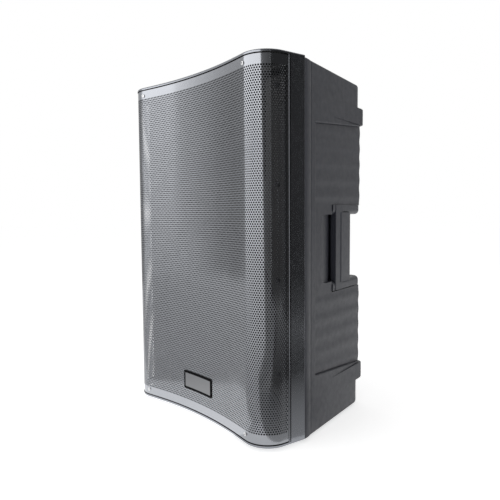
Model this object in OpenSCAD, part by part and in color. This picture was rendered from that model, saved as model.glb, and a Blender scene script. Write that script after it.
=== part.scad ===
// Two-way active loudspeaker cabinet with a 15 inch woofer, a horn and a rear amplifier panel.
// The front faces -Y, +Z is up, and the origin is under the middle of the cabinet on the floor.

/* [Cabinet] */
// Overall width at the widest edge
cab_w = 452; // [440:1:480]
// Overall depth, shoulders to bumpers
cab_d = 344; // [338:1:370]
// Overall height, feet included
cab_h = 696; // [690:1:740]
// Wall of both moulded shells
shell_wall = 6; // [5:0.5:8]
// Depth of the front shell, shoulder to parting line
front_shell_d = 96; // [92:1:104]
// Radius of the front shoulders
shoulder_r = 40; // [36:1:44]
// Radius of the hollow down the middle of the front
dish_r = 650; // [550:10:750]
// Slope between the hollow and the shoulders, degrees
wave_angle = 8.5; // [7:0.5:9.5]
// Heading of the flat side band, degrees from straight across
band_angle = 84; // [82:0.5:87]
// Taper of each rear side, degrees
side_taper = 14; // [12:0.5:14.5]
// Radius of the upright rear corners
rear_corner_r = 14; // [10:1:18]

/* [Rear sides] */
// Depth of the sunken side panels
panel_sink = 4; // [3:0.5:5]
// Distance of the sunken panel behind the parting line
panel_setback = 42; // [36:1:48]
// Bottom of the sunken panel at its front, above the cabinet's underside
panel_low = 94; // [88:1:104]
// Top of the sunken panel at its front, below the cabinet's top
panel_high = 105; // [98:1:112]
// Drop of the panel's lower edge towards the rear
panel_low_drop = 7; // [0:1:12]
// Rise of the panel's upper edge towards the rear
panel_high_rise = 23; // [10:1:28]
// How far the bumper bands stand out at the rear corners
bumper_t = 8; // [6:1:10]
// Height of each bumper band at the rear
bumper_h = 34; // [24:1:40]
// Length of each bumper along the side
bumper_side_l = 140; // [110:1:160]
// Length of each bumper across the rear
bumper_rear_l = 44; // [30:1:56]
// Ribs above the handle, and as many below it
rib_n = 5; // [3:1:5]
// Spacing of the ribs
rib_pitch = 31; // [28:1:33]
// Height of each rib
rib_t = 2; // [1:0.5:3]

/* [Handles] */
// Height of the finger opening
grip_gap_h = 133; // [115:1:140]
// Depth of the pocket measured from the side
pocket_d = 76; // [70:1:80]
// Start of the scoop, behind the parting line
scoop_y = 51; // [46:1:60]
// Start of the finger slot, behind the parting line
slot_y = 92; // [86:1:96]
// Front of the grip bar, behind the parting line
grip_y = 126; // [122:1:130]
// Width of the grip bar along the side
grip_w = 68; // [56:1:72]
// Thickness of the grip bar
grip_t = 30; // [24:1:34]
// Height of each end block of the grip
grip_end_h = 17; // [14:1:20]

/* [Grille] */
// Thickness of the grille sheet
grille_t = 1.2; // [1:0.1:2]
// How far the sheet lies below the cabinet surface
grille_set = 1; // [0.5:0.1:2]
// Gap between the sheet and the shell around it
grille_gap = 1.2; // [0.8:0.1:2]
// Distance from shoulder front to the end of the sheet
grille_wrap = 56; // [52:1:60]
// Height of each grille screw from the cabinet's edge
grille_screw_z = 13.5; // [13:0.5:16]
// Distance of the screws inboard of the shoulder centres
grille_screw_in = 15; // [13:1:20]
// Openings across the grille, a plain grid for its fine mesh
grille_columns = 10; // [6:1:12]
// Openings down the grille
grille_rows = 12; // [8:1:12]
// Part of each step of the grid that is open, across and down alike
grille_open = 0.58; // [0.4:0.02:0.8]
// Solid border above and below the openings
grille_border = 18; // [16:1:24]
// Width of the badge
badge_w = 94; // [80:1:110]
// Height of the badge
badge_h = 38; // [30:1:46]
// Height of the badge above the cabinet's underside
badge_z = 42; // [36:1:60]

/* [Baffle] */
// Depth of the baffle face behind the shoulders
baffle_d = 48; // [46:1:50]
// Thickness of the baffle
baffle_t = 12; // [10:1:16]
// Radius of the woofer opening in the baffle
woofer_cut_r = 177; // [170:0.5:180]
// Width of the woofer's mounting ring around that opening
ring_w = 17; // [15:0.5:20]
// Clearance from the woofer's ring to the cabinet floor
woofer_edge = 10; // [8:1:20]
// Width of the horn's flange
horn_w = 340; // [320:1:350]
// Height of the horn's flange
horn_h = 190; // [170:1:200]
// Clearance from the horn's flange to the cabinet top
horn_edge = 20; // [12:1:40]
// Depth of the horn behind the baffle face
horn_d = 110; // [100:1:120]
// Inner radius of each port tube
port_r = 30; // [26:1:31]
// Length of each port tube
port_l = 80; // [60:1:84]

/* [Base] */
// Height of the rubber feet
foot_h = 6; // [5:0.5:10]
// Radius of the rubber feet
foot_r = 16; // [12:1:20]
// Bore of the pole socket
pole_bore_d = 35.8; // [35.4:0.1:38.4]
// Depth of the pole socket
pole_bore_l = 84; // [70:1:95]

/* [Amplifier] */
// Width of the amplifier panel
amp_w = 196; // [190:1:198]
// Height of the amplifier panel
amp_h = 380; // [370:1:410]
// Thickness of the amplifier panel
amp_t = 3; // [2:0.5:4]
// Depth of the panel's well in the rear face
well_d = 12; // [10:1:14]
// Radius of each level knob
knob_r = 8; // [7:0.5:9]
// Height of each level knob
knob_h = 13; // [10:0.5:15]
// Travel of the mode button
button_travel = 2; // [1:0.5:3]
// Travel of the jack latches
latch_travel = 1.5; // [1:0.5:2]
// Tilt of the power rocker to either side, degrees
rocker_tilt = 7; // [5:1:9]

/* [Clearances] */
// Gap around still pieces
fit_gap = 0.3; // [0.2:0.1:0.5]
// Gap around screw shanks
screw_gap = 0.1; // [0.05:0.05:0.2]
// Running gap of turning shafts
shaft_gap = 0.05; // [0.03:0.01:0.08]

/* [Hidden] */
$fn = 96;
plastic = "#2c2e31";
black = "#17181a";
steel = "#9a9da2";
half_w = cab_w / 2;
body_h = cab_h - foot_h;
base_z = foot_h;
floor_z = base_z + shell_wall;
ceil_z = cab_h - shell_wall;
nose_y = -cab_d / 2;
part_y = nose_y + front_shell_d;
rear_y = cab_d / 2 - bumper_t;
eps = 1;

// Plan of the front: a wide hollow, straight flanks, round shoulders and a flat band
band_l = (front_shell_d - shoulder_r + shoulder_r * cos(band_angle)) / sin(band_angle);
shoulder_x = half_w - shoulder_r * sin(band_angle) - band_l * cos(band_angle);
shoulder_y = nose_y + shoulder_r;
flank_l = (shoulder_x - (dish_r + shoulder_r) * sin(wave_angle)) / cos(wave_angle);
dish_y = shoulder_y + dish_r * (1 - cos(wave_angle)) + flank_l * sin(wave_angle)
    - shoulder_r * cos(wave_angle);
function mirrored(p) = [for (i = [len(p) - 1:-1:0]) [-p[i].x, p[i].y]];
function band_x(y, d) = half_w - (part_y - y) / tan(band_angle) - d / sin(band_angle);
function flank_end(d) = [(dish_r + d) * sin(wave_angle), dish_y - dish_r + (dish_r + d) * cos(wave_angle)];
function flank_y(x, d) = flank_end(d).y - (x - flank_end(d).x) * tan(wave_angle);
module front_plan(d) {
    r = shoulder_r - d;
    right = [
        flank_end(d),
        [shoulder_x - r * sin(wave_angle), shoulder_y - r * cos(wave_angle)],
        [shoulder_x + r * sin(band_angle), shoulder_y - r * cos(band_angle)],
        [band_x(part_y, d), part_y]
    ];
    difference() {
        union() {
            polygon(concat(right, mirrored(right)));
            for (side = [-1, 1]) translate([side * shoulder_x, shoulder_y]) circle(r);
        }
        translate([0, dish_y - dish_r]) circle(dish_r + d, $fn = 360);
    }
}

// Plan of the rear: tapered sides and rounded corners
function side_x(y) = half_w - (y - part_y) * tan(side_taper);
function side_in(y, d) = side_x(y) - d / cos(side_taper);
corner_y = rear_y - rear_corner_r;
corner_x = side_in(corner_y, rear_corner_r);
module rear_plan(d) {
    r = rear_corner_r - d;
    right = [
        [side_in(part_y, d), part_y],
        [corner_x + r * cos(side_taper), corner_y + r * sin(side_taper)],
        [corner_x, corner_y + r]
    ];
    polygon(concat(right, mirrored(right)));
    for (side = [-1, 1]) translate([side * corner_x, corner_y]) circle(r);
}
module slab(z0, z1) translate([0, 0, z0]) linear_extrude(z1 - z0) children();
module both() for (m = [0, 1]) mirror([m, 0, 0]) children();

// Pieces on the baffle point rearwards, pieces on the panel point out of the back
baffle_y = nose_y + baffle_d;
back_y = baffle_y + baffle_t;
module on_baffle(x, z) translate([x, baffle_y, z]) rotate([-90, 0, 0]) children();
module screw(d, l, head_d, head_h) {
    translate([0, 0, -head_h]) cylinder(d = head_d, h = head_h);
    cylinder(d = d, h = l);
}
module screw_hole(d, l) translate([0, 0, -eps]) cylinder(d = d + 2 * screw_gap, h = l + 2 * eps);
module tube(r_out, r_in, h) {
    difference() {
        cylinder(r = r_out, h = h);
        translate([0, 0, -eps]) cylinder(r = r_in, h = h + 2 * eps);
    }
}
module block(w, d, h) translate([-w / 2, -d / 2, 0]) cube([w, d, h]);

// Grille screws stand square to the sloping flanks
grille_d = 4;
grille_head_d = 7.5;
grille_head_h = 2.2;
grille_l = 16;
post_r = 5;
post_l = (baffle_y - flank_y(shoulder_x, 0)) / cos(wave_angle);
module at_grille_screws() {
    x = shoulder_x - grille_screw_in;
    for (z = [base_z + grille_screw_z, cab_h - grille_screw_z])
        both()
            translate([x, flank_y(x, grille_set), z])
                rotate([-90, 0, -wave_angle])
                    children();
}

// Places on the baffle
ring_r = woofer_cut_r + ring_w;
horn_z = ceil_z - horn_edge - horn_h / 2;
port_wall = 3;
port_flange_w = 5;
port_flange_r = port_r + port_flange_w;
port_edge = 3.5;
port_x = band_x(baffle_y, shell_wall) - port_flange_r - port_edge;
port_z = base_z + grille_screw_z + post_r + port_edge + port_flange_r;
port_reach = ring_r + port_flange_r + port_edge;
over_ports = port_z + sqrt(max(0, port_reach * port_reach - port_x * port_x));
woofer_z = max(floor_z + woofer_edge + ring_r, over_ports);
woofer_d = 6;
woofer_screw_n = 8;
woofer_screw_in = 8.5;
woofer_screw_r = ring_r - woofer_screw_in;
horn_wall = 3;
horn_lip = 16;
horn_d_screw = 5;
mouth_w = horn_w - 2 * horn_lip;
mouth_h = horn_h - 2 * horn_lip;
module at_horn_screws() {
    for (x = [-1, 0, 1], z = [-1, 1])
        on_baffle(x * (horn_w / 2 - horn_lip / 2), horn_z + z * (horn_h / 2 - horn_lip / 2)) children();
}
module at_woofer_screws() {
    on_baffle(0, woofer_z)
        for (i = [0:woofer_screw_n - 1])
            rotate([0, 0, (i + 0.5) * 360 / woofer_screw_n]) translate([woofer_screw_r, 0, 0]) children();
}

// Screws that close the two shells from the front, through the baffle, clear of the woofer's ring
case_d = 5;
case_head_d = 9;
case_head_h = 3;
case_boss_r = 7;
case_in = 24;
case_x = half_w - case_in;
case_top_x = 110;
case_edge = 15;
case_rise = 85;
case_horn_low = 9;
case_horn_high = 28;
case_dz = sqrt(max(case_rise * case_rise, pow(ring_r + case_head_d / 2 + fit_gap, 2) - case_x * case_x));
case_side_z = [
    woofer_z - case_dz, woofer_z + case_dz,
    horn_z - horn_h / 2 - case_horn_low, horn_z + horn_h / 2 - case_horn_high
];
case_spots = concat(
    [for (side = [-1, 1], z = case_side_z) [side * case_x, z]],
    [for (side = [-1, 1], z = [base_z + case_edge, cab_h - case_edge]) [side * case_top_x, z]]
);
case_grip = 24;
case_l = baffle_t + case_grip;

// Feet and pole socket
foot_inset = 36;
foot_baffle_gap = 12;
foot_rear_in = 44;
foot_front_y = back_y + foot_baffle_gap;
foot_rear_y = rear_y - foot_rear_in;
foot_spots = [
    for (side = [-1, 1], y = [foot_front_y, foot_rear_y])
        [side * (y < part_y ? band_x(y, foot_inset) : side_in(y, foot_inset)), y]
];
spigot_r = 5;
spigot_out = 3;
spigot_h = shell_wall + spigot_out;
module at_feet() for (p = foot_spots) translate([p.x, p.y, base_z]) children();
pole_y = 20;
pole_wall = 4;
pole_r = pole_bore_d / 2 + pole_wall;
pole_flange_w = 20;
pole_flange_r = pole_r + pole_flange_w;
pole_flange_t = 3;
pole_d = 5;
pole_head_d = 9;
pole_head_h = 2.4;
pole_screw_l = 22;
module at_pole_screws() {
    for (i = [0:3]) translate([0, pole_y, base_z - pole_flange_t]) rotate([0, 0, 45 + i * 90])
        translate([pole_r + pole_flange_w / 2, 0, 0]) children();
}

// Shell gasket lies in a rebate on the inner half of the front wall's end
gasket_t = 2;
gasket_in = shell_wall / 2;

module grille_space() {
    slab(floor_z, ceil_z) {
        translate([-half_w, nose_y - eps]) square([cab_w, baffle_d + eps]);
        difference() {
            translate([-cab_w, nose_y - eps]) square([2 * cab_w, grille_wrap + eps]);
            front_plan(grille_set + grille_t + fit_gap);
        }
    }
}
module ring_box(inset_out, inset_in, y0, y1) {
    difference() {
        translate([-half_w + inset_out, y0, base_z + inset_out])
            cube([cab_w - 2 * inset_out, y1 - y0, body_h - 2 * inset_out]);
        translate([-half_w + inset_in, y0 - eps, base_z + inset_in])
            cube([cab_w - 2 * inset_in, y1 - y0 + 2 * eps, body_h - 2 * inset_in]);
    }
}
module front_shell() {
    color(plastic) difference() {
        union() {
            difference() {
                slab(base_z, cab_h) front_plan(0);
                grille_space();
                slab(floor_z, ceil_z) intersection() {
                    front_plan(shell_wall);
                    translate([-half_w, back_y]) square([cab_w, cab_d]);
                }
            }
            at_grille_screws() translate([0, 0, grille_t + screw_gap]) cylinder(r = post_r, h = post_l);
        }
        ring_box(gasket_in, shell_wall + fit_gap, part_y - gasket_t, part_y + eps);
        on_baffle(0, woofer_z) translate([0, 0, -eps]) cylinder(r = woofer_cut_r, h = baffle_t + 2 * eps);
        on_baffle(0, horn_z) translate([0, 0, -eps])
            block(mouth_w + 2 * horn_wall + 2 * fit_gap, mouth_h + 2 * horn_wall + 2 * fit_gap,
                baffle_t + 2 * eps);
        both() on_baffle(port_x, port_z) translate([0, 0, -eps])
            cylinder(r = port_r + port_wall + fit_gap, h = baffle_t + 2 * eps);
        for (p = case_spots) on_baffle(p.x, p.y) screw_hole(case_d, baffle_t);
        at_woofer_screws() screw_hole(woofer_d, baffle_t);
        at_horn_screws() screw_hole(horn_d_screw, baffle_t);
        at_grille_screws() translate([0, 0, grille_t]) screw_hole(grille_d, grille_l - grille_t);
        at_feet() translate([0, 0, -eps]) cylinder(r = spigot_r + screw_gap, h = shell_wall + 2 * eps);
    }
}

// Rear shell
shell_in = shell_wall + panel_sink;
panel_y0 = part_y + panel_setback;
panel_z0 = base_z + panel_low;
panel_z1 = cab_h - panel_high;
handle_z = base_z + body_h / 2;
pocket_z0 = handle_z - grip_gap_h / 2;
pocket_z1 = handle_z + grip_gap_h / 2;
pocket_wall = 4;
pocket_x = side_x(part_y + grip_y) - pocket_d;
scoop_sink = 18;
pocket_turn = 6;
core_lead = 10;
block_in = 36;
strip_w = 8;
block_front_y = part_y + grip_y - strip_w;
tab_w = 16;
tab_t = 12;
tab_x = side_x(rear_y) - block_in;
amp_z = handle_z;
seal_t = 1.5;
amp_y = rear_y - well_d;
seat_y = amp_y - amp_t - seal_t;
well_gap = 1;
ledge = 10;
module pocket_plan() {
    y0 = part_y + scoop_y;
    y1 = part_y + slot_y;
    y2 = part_y + grip_y;
    polygon([
        [side_x(y0), y0], [side_x(y1) - scoop_sink, y1], [pocket_x, y2 - pocket_turn],
        [pocket_x, rear_y + eps], [half_w, rear_y + eps], [half_w, y0]
    ]);
}
module pocket_core_plan() {
    y0 = part_y + scoop_y - pocket_wall;
    polygon([
        [side_x(y0), y0], [side_x(y0) - 2 * pocket_wall - scoop_sink, y0 + core_lead],
        [pocket_x - pocket_wall, part_y + grip_y - core_lead], [pocket_x - pocket_wall, rear_y],
        [half_w, rear_y], [half_w, y0]
    ]);
}
module seat_plan(gap) {
    intersection() {
        rear_plan(gap > 0 ? -eps : 0);
        union() {
            polygon([
                [tab_x - gap, block_front_y - gap], [half_w, block_front_y - gap],
                [half_w, rear_y + eps], [tab_x - gap, rear_y + eps]
            ]);
            translate([tab_x - tab_w - gap, rear_y - tab_t - gap])
                square([tab_w + 2 * gap, tab_t + eps + gap]);
        }
    }
}
module side_panel_zone() {
    rotate([90, 0, 90])
        linear_extrude(half_w + eps)
            polygon([
                [panel_y0, panel_z0], [rear_y + eps, panel_z0 - panel_low_drop],
                [rear_y + eps, panel_z1 + panel_high_rise], [panel_y0, panel_z1]
            ]);
}
// A shallow rib is the top of a wide cylinder that lies in the sunken panel
rib_r = rib_pitch * rib_pitch / (10 * rib_t) + rib_t;
rib_clear = 0.5;
rib_tilt_low = -2;
rib_tilt_high = 6;
module rib(z, tilt) {
    translate([side_in(panel_y0, panel_sink + rib_r - rib_t), panel_y0, z])
        rotate([0, 0, side_taper])
            rotate([tilt, 0, 0])
                rotate([-90, 0, 0])
                    cylinder(r = rib_r, h = cab_d);
}
module ribs() {
    intersection() {
        union() for (i = [0:rib_n - 1]) {
            rib(panel_z0 + (i + 0.5) * rib_pitch, rib_tilt_low);
            rib(panel_z1 - (i + 0.5) * rib_pitch, rib_tilt_high - i);
        }
        side_panel_zone();
        slab(base_z, cab_h) rear_plan(panel_sink - rib_t - rib_clear);
        translate([half_w / 2, panel_y0, base_z]) cube([half_w, cab_d, body_h]);
    }
}
module bumper_plan() {
    y0 = rear_y - bumper_side_l;
    out_x = side_x(rear_y) + bumper_t;
    r = rear_corner_r;
    polygon([
        [side_in(y0, shell_in), y0], [side_x(y0), y0], [out_x, rear_y + bumper_t - r],
        [out_x - r, rear_y + bumper_t], [out_x - bumper_rear_l, rear_y + bumper_t],
        [out_x - bumper_rear_l, rear_y - shell_in], [side_in(rear_y, shell_in), rear_y - shell_in]
    ]);
    translate([out_x - r, rear_y + bumper_t - r]) circle(r);
}
bumper_low_z = panel_z0 - panel_low_drop;
bumper_high_z = panel_z1 + panel_high_rise;
flange_w = 26;
flange_t = 10;
module flange_bosses() {
    intersection() {
        ring_box(shell_wall, shell_wall + flange_w, part_y, part_y + flange_t);
        slab(base_z, cab_h) rear_plan(0);
    }
    for (p = case_spots) translate([p.x, back_y, p.y]) rotate([-90, 0, 0])
        cylinder(r = case_boss_r, h = part_y - back_y + flange_t - eps);
}
module rear_outer() {
    difference() {
        slab(base_z, cab_h) rear_plan(0);
        both() difference() {
            side_panel_zone();
            slab(base_z, cab_h) rear_plan(panel_sink);
        }
    }
    both() ribs();
    both() slab(bumper_low_z - bumper_h, bumper_low_z) bumper_plan();
    both() slab(bumper_high_z, bumper_high_z + bumper_h) bumper_plan();
}
module rear_cavity() {
    difference() {
        slab(floor_z, ceil_z) rear_plan(shell_in);
        both() slab(pocket_z0 - grip_end_h - pocket_wall, pocket_z1 + grip_end_h + pocket_wall)
            pocket_core_plan();
        translate([0, seat_y - shell_wall, amp_z - amp_h / 2 - well_gap - shell_wall])
            translate([-amp_w / 2 - well_gap - shell_wall, 0, 0])
                cube([amp_w + 2 * (well_gap + shell_wall), cab_d, amp_h + 2 * (well_gap + shell_wall)]);
    }
}
module rear_shell() {
    color(plastic) difference() {
        union() {
            difference() {
                rear_outer();
                rear_cavity();
            }
            flange_bosses();
        }
        both() slab(pocket_z0, pocket_z1) pocket_plan();
        both() for (z = [pocket_z0 - grip_end_h - fit_gap, pocket_z1])
            slab(z, z + grip_end_h + fit_gap) seat_plan(fit_gap);
        translate([-amp_w / 2 - well_gap, seat_y, amp_z - amp_h / 2 - well_gap])
            cube([amp_w + 2 * well_gap, cab_d, amp_h + 2 * well_gap]);
        translate([-amp_w / 2 + ledge, seat_y - 2 * shell_wall, amp_z - amp_h / 2 + ledge])
            cube([amp_w - 2 * ledge, cab_d, amp_h - 2 * ledge]);
        at_panel_screws() screw_hole(panel_d, panel_screw_l);
        at_handle_screws() screw_hole(handle_d, handle_l);
        for (p = case_spots) on_baffle(p.x, p.y) screw_hole(case_d, case_l);
        both() on_baffle(port_x, port_z) cylinder(r = port_r + port_wall + fit_gap, h = port_l);
        at_feet() translate([0, 0, -eps]) cylinder(r = spigot_r + screw_gap, h = shell_wall + 2 * eps);
        translate([0, pole_y, base_z - eps]) cylinder(r = pole_r + fit_gap, h = shell_wall + 2 * eps);
        at_pole_screws() screw_hole(pole_d, pole_screw_l);
    }
}
module shell_gasket() {
    color(black) ring_box(gasket_in + screw_gap, shell_wall, part_y - gasket_t, part_y);
}
module shell_screws() {
    color(steel) for (p = case_spots) on_baffle(p.x, p.y) screw(case_d, case_l, case_head_d, case_head_h);
}

// Grille and badge
grille_z0 = floor_z + grille_gap;
grille_z1 = ceil_z - grille_gap;
badge_z0 = base_z + badge_z;
// The openings end where the shoulders turn to the side
open_turn = 53;
grille_open_x = shoulder_x + shoulder_r * sin(open_turn);
grille_step_x = 2 * grille_open_x / grille_columns;
grille_step_z = (grille_z1 - grille_z0 - 2 * grille_border) / grille_rows;
module grille_openings() {
    w = grille_open * grille_step_x;
    h = grille_open * grille_step_z;
    for (i = [0:grille_columns - 1], j = [0:grille_rows - 1]) {
        x = (i + 0.5) * grille_step_x - grille_open_x;
        z = grille_z0 + grille_border + (j + 0.5) * grille_step_z;
        over_badge = abs(x) < (badge_w + w) / 2 && abs(z - badge_z0 - badge_h / 2) < (badge_h + h) / 2;
        if (!over_badge) translate([x - w / 2, nose_y - eps, z - h / 2]) cube([w, baffle_d, h]);
    }
}
module front_grille() {
    color("#6d7075") difference() {
        slab(grille_z0, grille_z1) intersection() {
            difference() {
                front_plan(grille_set);
                front_plan(grille_set + grille_t);
            }
            translate([-half_w, nose_y - eps]) square([cab_w, grille_wrap - grille_gap + eps]);
        }
        at_grille_screws() screw_hole(grille_d, 2 * grille_t);
        grille_openings();
    }
}
module grille_screws() {
    color(steel) at_grille_screws() screw(grille_d, grille_l, grille_head_d, grille_head_h);
}
badge_t = 1.5;
badge_rim = 3;
badge_inlay_t = 0.6;
module badge_sheet(d0, d1, w, z0, z1) {
    slab(z0, z1) intersection() {
        difference() {
            front_plan(d0);
            front_plan(d1);
        }
        translate([-w / 2, nose_y - cab_d / 2]) square([w, cab_d]);
    }
}
module badge_frame() {
    color(black) difference() {
        badge_sheet(grille_set - badge_t, grille_set - screw_gap, badge_w, badge_z0, badge_z0 + badge_h);
        badge_sheet(grille_set - badge_t - eps, grille_set - badge_t + badge_inlay_t, badge_w - 2 * badge_rim,
            badge_z0 + badge_rim, badge_z0 + badge_h - badge_rim);
    }
}
module badge_plate() {
    color("#c3c6ca") badge_sheet(grille_set - badge_t, grille_set - badge_t + badge_inlay_t,
        badge_w - 2 * badge_rim - 2 * screw_gap, badge_z0 + badge_rim + screw_gap,
        badge_z0 + badge_h - badge_rim - screw_gap);
}

// Handle grips: a bar with a front strip between two end blocks
handle_d = 5;
handle_l = 34;
handle_head_d = 9;
handle_head_h = 2.5;
strip_sink = 1;
module at_handle_screws() {
    both() for (z = [pocket_z0 - grip_end_h / 2, pocket_z1 + grip_end_h / 2])
        translate([tab_x - tab_w / 2, rear_y, z]) rotate([90, 0, 0]) children();
}
module grip_plan() {
    y0 = part_y + grip_y;
    r = grip_t / 3;
    translate([side_x(y0), y0]) rotate([0, 0, side_taper]) {
        translate([-grip_t + r, 0]) square([grip_t - r, grip_w - r]);
        translate([-grip_t, r]) square([grip_t, grip_w - 2 * r]);
        translate([-grip_t + r, r]) square([grip_t - 2 * r, grip_w - r]);
        for (x = [-grip_t + r, -r], y = [r, grip_w - r]) translate([x, y]) circle(r);
    }
}
module strip_plan() {
    y0 = part_y + grip_y;
    translate([side_x(y0), y0]) rotate([0, 0, side_taper])
        translate([-grip_t / 2, -strip_w]) square([grip_t / 2 - strip_sink, 2 * strip_w]);
}
module handle_grip() {
    color(black) difference() {
        union() {
            slab(pocket_z0 - eps, pocket_z1 + eps) grip_plan();
            slab(pocket_z0 + fit_gap, pocket_z1 - fit_gap) strip_plan();
            slab(pocket_z0 - grip_end_h, pocket_z0) seat_plan(0);
            slab(pocket_z1, pocket_z1 + grip_end_h) seat_plan(0);
        }
        at_handle_screws() screw_hole(handle_d, handle_l);
    }
}
module handle_grip_right() handle_grip();
module handle_grip_left() mirror([1, 0, 0]) handle_grip();
module handle_screws() {
    color(steel) at_handle_screws() screw(handle_d, handle_l, handle_head_d, handle_head_h);
}

// Base
foot_taper = 2;
module rubber_feet() {
    color(black) at_feet() {
        translate([0, 0, -foot_h]) cylinder(r1 = foot_r - foot_taper, r2 = foot_r, h = foot_h);
        cylinder(r = spigot_r, h = spigot_h);
    }
}
pole_cap = 3;
module pole_socket() {
    color(black) translate([0, pole_y, base_z - pole_flange_t]) difference() {
        union() {
            cylinder(r = pole_flange_r, h = pole_flange_t);
            cylinder(r = pole_r, h = pole_bore_l + pole_cap);
        }
        translate([0, 0, -eps]) cylinder(d = pole_bore_d, h = pole_bore_l + eps);
        translate([0, -pole_y, pole_flange_t - base_z]) at_pole_screws() screw_hole(pole_d, pole_flange_t);
    }
}
module pole_socket_screws() {
    color(steel) at_pole_screws() screw(pole_d, pole_screw_l, pole_head_d, pole_head_h);
}
foam_t = 25;
foam_front_in = 34;
foam_rear_in = 60;
foam_y0 = part_y + foam_front_in;
foam_y1 = rear_y - foam_rear_in;
foam_gap = 4;
module damping_foam() {
    color("#3a3a3a") slab(ceil_z - foam_t, ceil_z) {
        w = 2 * side_in(foam_y1, shell_in + foam_gap);
        translate([-w / 2, foam_y0]) square([w, foam_y1 - foam_y0]);
    }
}

// Woofer, built along its own axis from the baffle face rearwards
frame_t = 6;
frame_lip = 20;
frame_step = 2;
frame_in = ring_r - frame_lip - frame_step;
coil_r = 38;
coil_t = 0.8;
coil_gap = 0.6;
cone_edge = 27;
cone_r = woofer_cut_r - cone_edge;
cone_t = 1.6;
cone_neck_z = 70;
skin_t = 1.2;
ledge_z = 84;
ledge_r = 98;
throat_r = 88;
plate_z = 99;
basket_t = 3;
top_plate_t = 8;
magnet_t = 22;
magnet_r = 88;
magnet_gap = 6;
plate_in = 3;
plate_r = magnet_r - plate_in;
yoke_t = 10;
vent_r = 10;
gasket_w = 14;
flange_in = ring_r - gasket_w;
frame_hole_in = 16;
frame_hole_r = coil_r + frame_hole_in;
frame_neck = 4;
frame_fit = 1;
neck_w = 4;
window_n = 6;
window_r = 90;
window_in_w = 44;
window_out_w = 124;
window_z = 18;
window_h = 52;
module on_woofer() on_baffle(0, woofer_z) children();
module woofer_frame() {
    color("#26282a") on_woofer() difference() {
        rotate_extrude() polygon([
            [frame_in, -frame_t], [ring_r, -frame_t], [ring_r, 0], [woofer_cut_r - frame_fit, 0],
            [woofer_cut_r - frame_fit, frame_neck], [ledge_r + frame_fit, ledge_z + basket_t],
            [throat_r + basket_t, ledge_z + basket_t], [throat_r + basket_t, plate_z],
            [frame_hole_r, plate_z], [frame_hole_r, plate_z - basket_t], [throat_r, plate_z - basket_t],
            [throat_r, ledge_z], [ledge_r - frame_step, ledge_z],
            [woofer_cut_r - frame_fit - neck_w, frame_neck], [frame_in, 0]
        ]);
        for (i = [0:window_n - 1]) rotate([0, 0, i * 360 / window_n])
            translate([0, 0, window_z])
                linear_extrude(window_h)
                    polygon([
                        [window_r, -window_in_w / 2], [ring_r, -window_out_w / 2],
                        [ring_r, window_out_w / 2], [window_r, window_in_w / 2]
                    ]);
        for (i = [0:woofer_screw_n - 1]) rotate([0, 0, (i + 0.5) * 360 / woofer_screw_n])
            translate([woofer_screw_r, 0, -frame_t]) screw_hole(woofer_d, frame_t);
    }
}
gasket_h = 3;
module woofer_gasket() {
    color(black) on_woofer() translate([0, 0, -frame_t - gasket_h]) difference() {
        tube(ring_r - fit_gap, flange_in + fit_gap, gasket_h);
        for (i = [0:woofer_screw_n - 1]) rotate([0, 0, (i + 0.5) * 360 / woofer_screw_n])
            translate([woofer_screw_r, 0, 0]) screw_hole(woofer_d, gasket_h);
    }
}
woofer_screw_l = 34;
woofer_head_d = 11;
woofer_head_h = 3.2;
module woofer_screws() {
    color(black) at_woofer_screws() translate([0, 0, -frame_t - gasket_h])
        screw(woofer_d, woofer_screw_l, woofer_head_d, woofer_head_h);
}
roll_lap = 2;
roll_in = cone_r + roll_lap;
roll_mid = (roll_in + ring_r - frame_lip) / 2;
roll_out = (ring_r - frame_lip - roll_in) / 2;
module woofer_surround() {
    color("#1d1d1f") on_woofer() rotate_extrude() {
        translate([roll_mid, -frame_t]) difference() {
            circle(roll_out);
            circle(roll_out - skin_t);
            translate([-2 * roll_out, 0]) square([4 * roll_out, 2 * roll_out]);
        }
        translate([ring_r - frame_lip - skin_t, -frame_t - skin_t])
            square([flange_in - ring_r + frame_lip, skin_t]);
        translate([cone_r + fit_gap, -frame_t - skin_t]) square([roll_in - cone_r, skin_t]);
    }
}
module woofer_cone() {
    color("#232325") on_woofer() rotate_extrude() polygon([
        [coil_r + coil_t, cone_neck_z], [coil_r + coil_t, cone_neck_z + cone_t],
        [cone_r, -frame_t + cone_t], [cone_r, -frame_t]
    ]);
}
cap_r = 56;
cap_rise = 18;
cone_slope = (cone_neck_z + frame_t) / (cone_r - coil_r - coil_t);
cap_z = cone_neck_z - (cap_r - coil_r - coil_t) * cone_slope;
cap_ball = (cap_r * cap_r + cap_rise * cap_rise) / (2 * cap_rise);
module dust_cap() {
    color("#1b1b1d") on_woofer() translate([0, 0, cap_z - cap_rise - screw_gap]) rotate_extrude()
        intersection() {
            translate([0, cap_ball]) difference() {
                circle(cap_ball, $fn = 240);
                circle(cap_ball - skin_t, $fn = 240);
            }
            square([cap_r, cap_rise]);
        }
}
coil_l = 48;
coil_lap = 2;
module voice_coil() {
    color("#b87333") on_woofer() translate([0, 0, cone_neck_z - coil_lap])
        tube(coil_r + coil_t - shaft_gap, coil_r, coil_l);
}
spider_waves = 5;
spider_wave = 2.4;
spider_in = 3;
spider_rim = 8;
spider_foot = 9;
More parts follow.
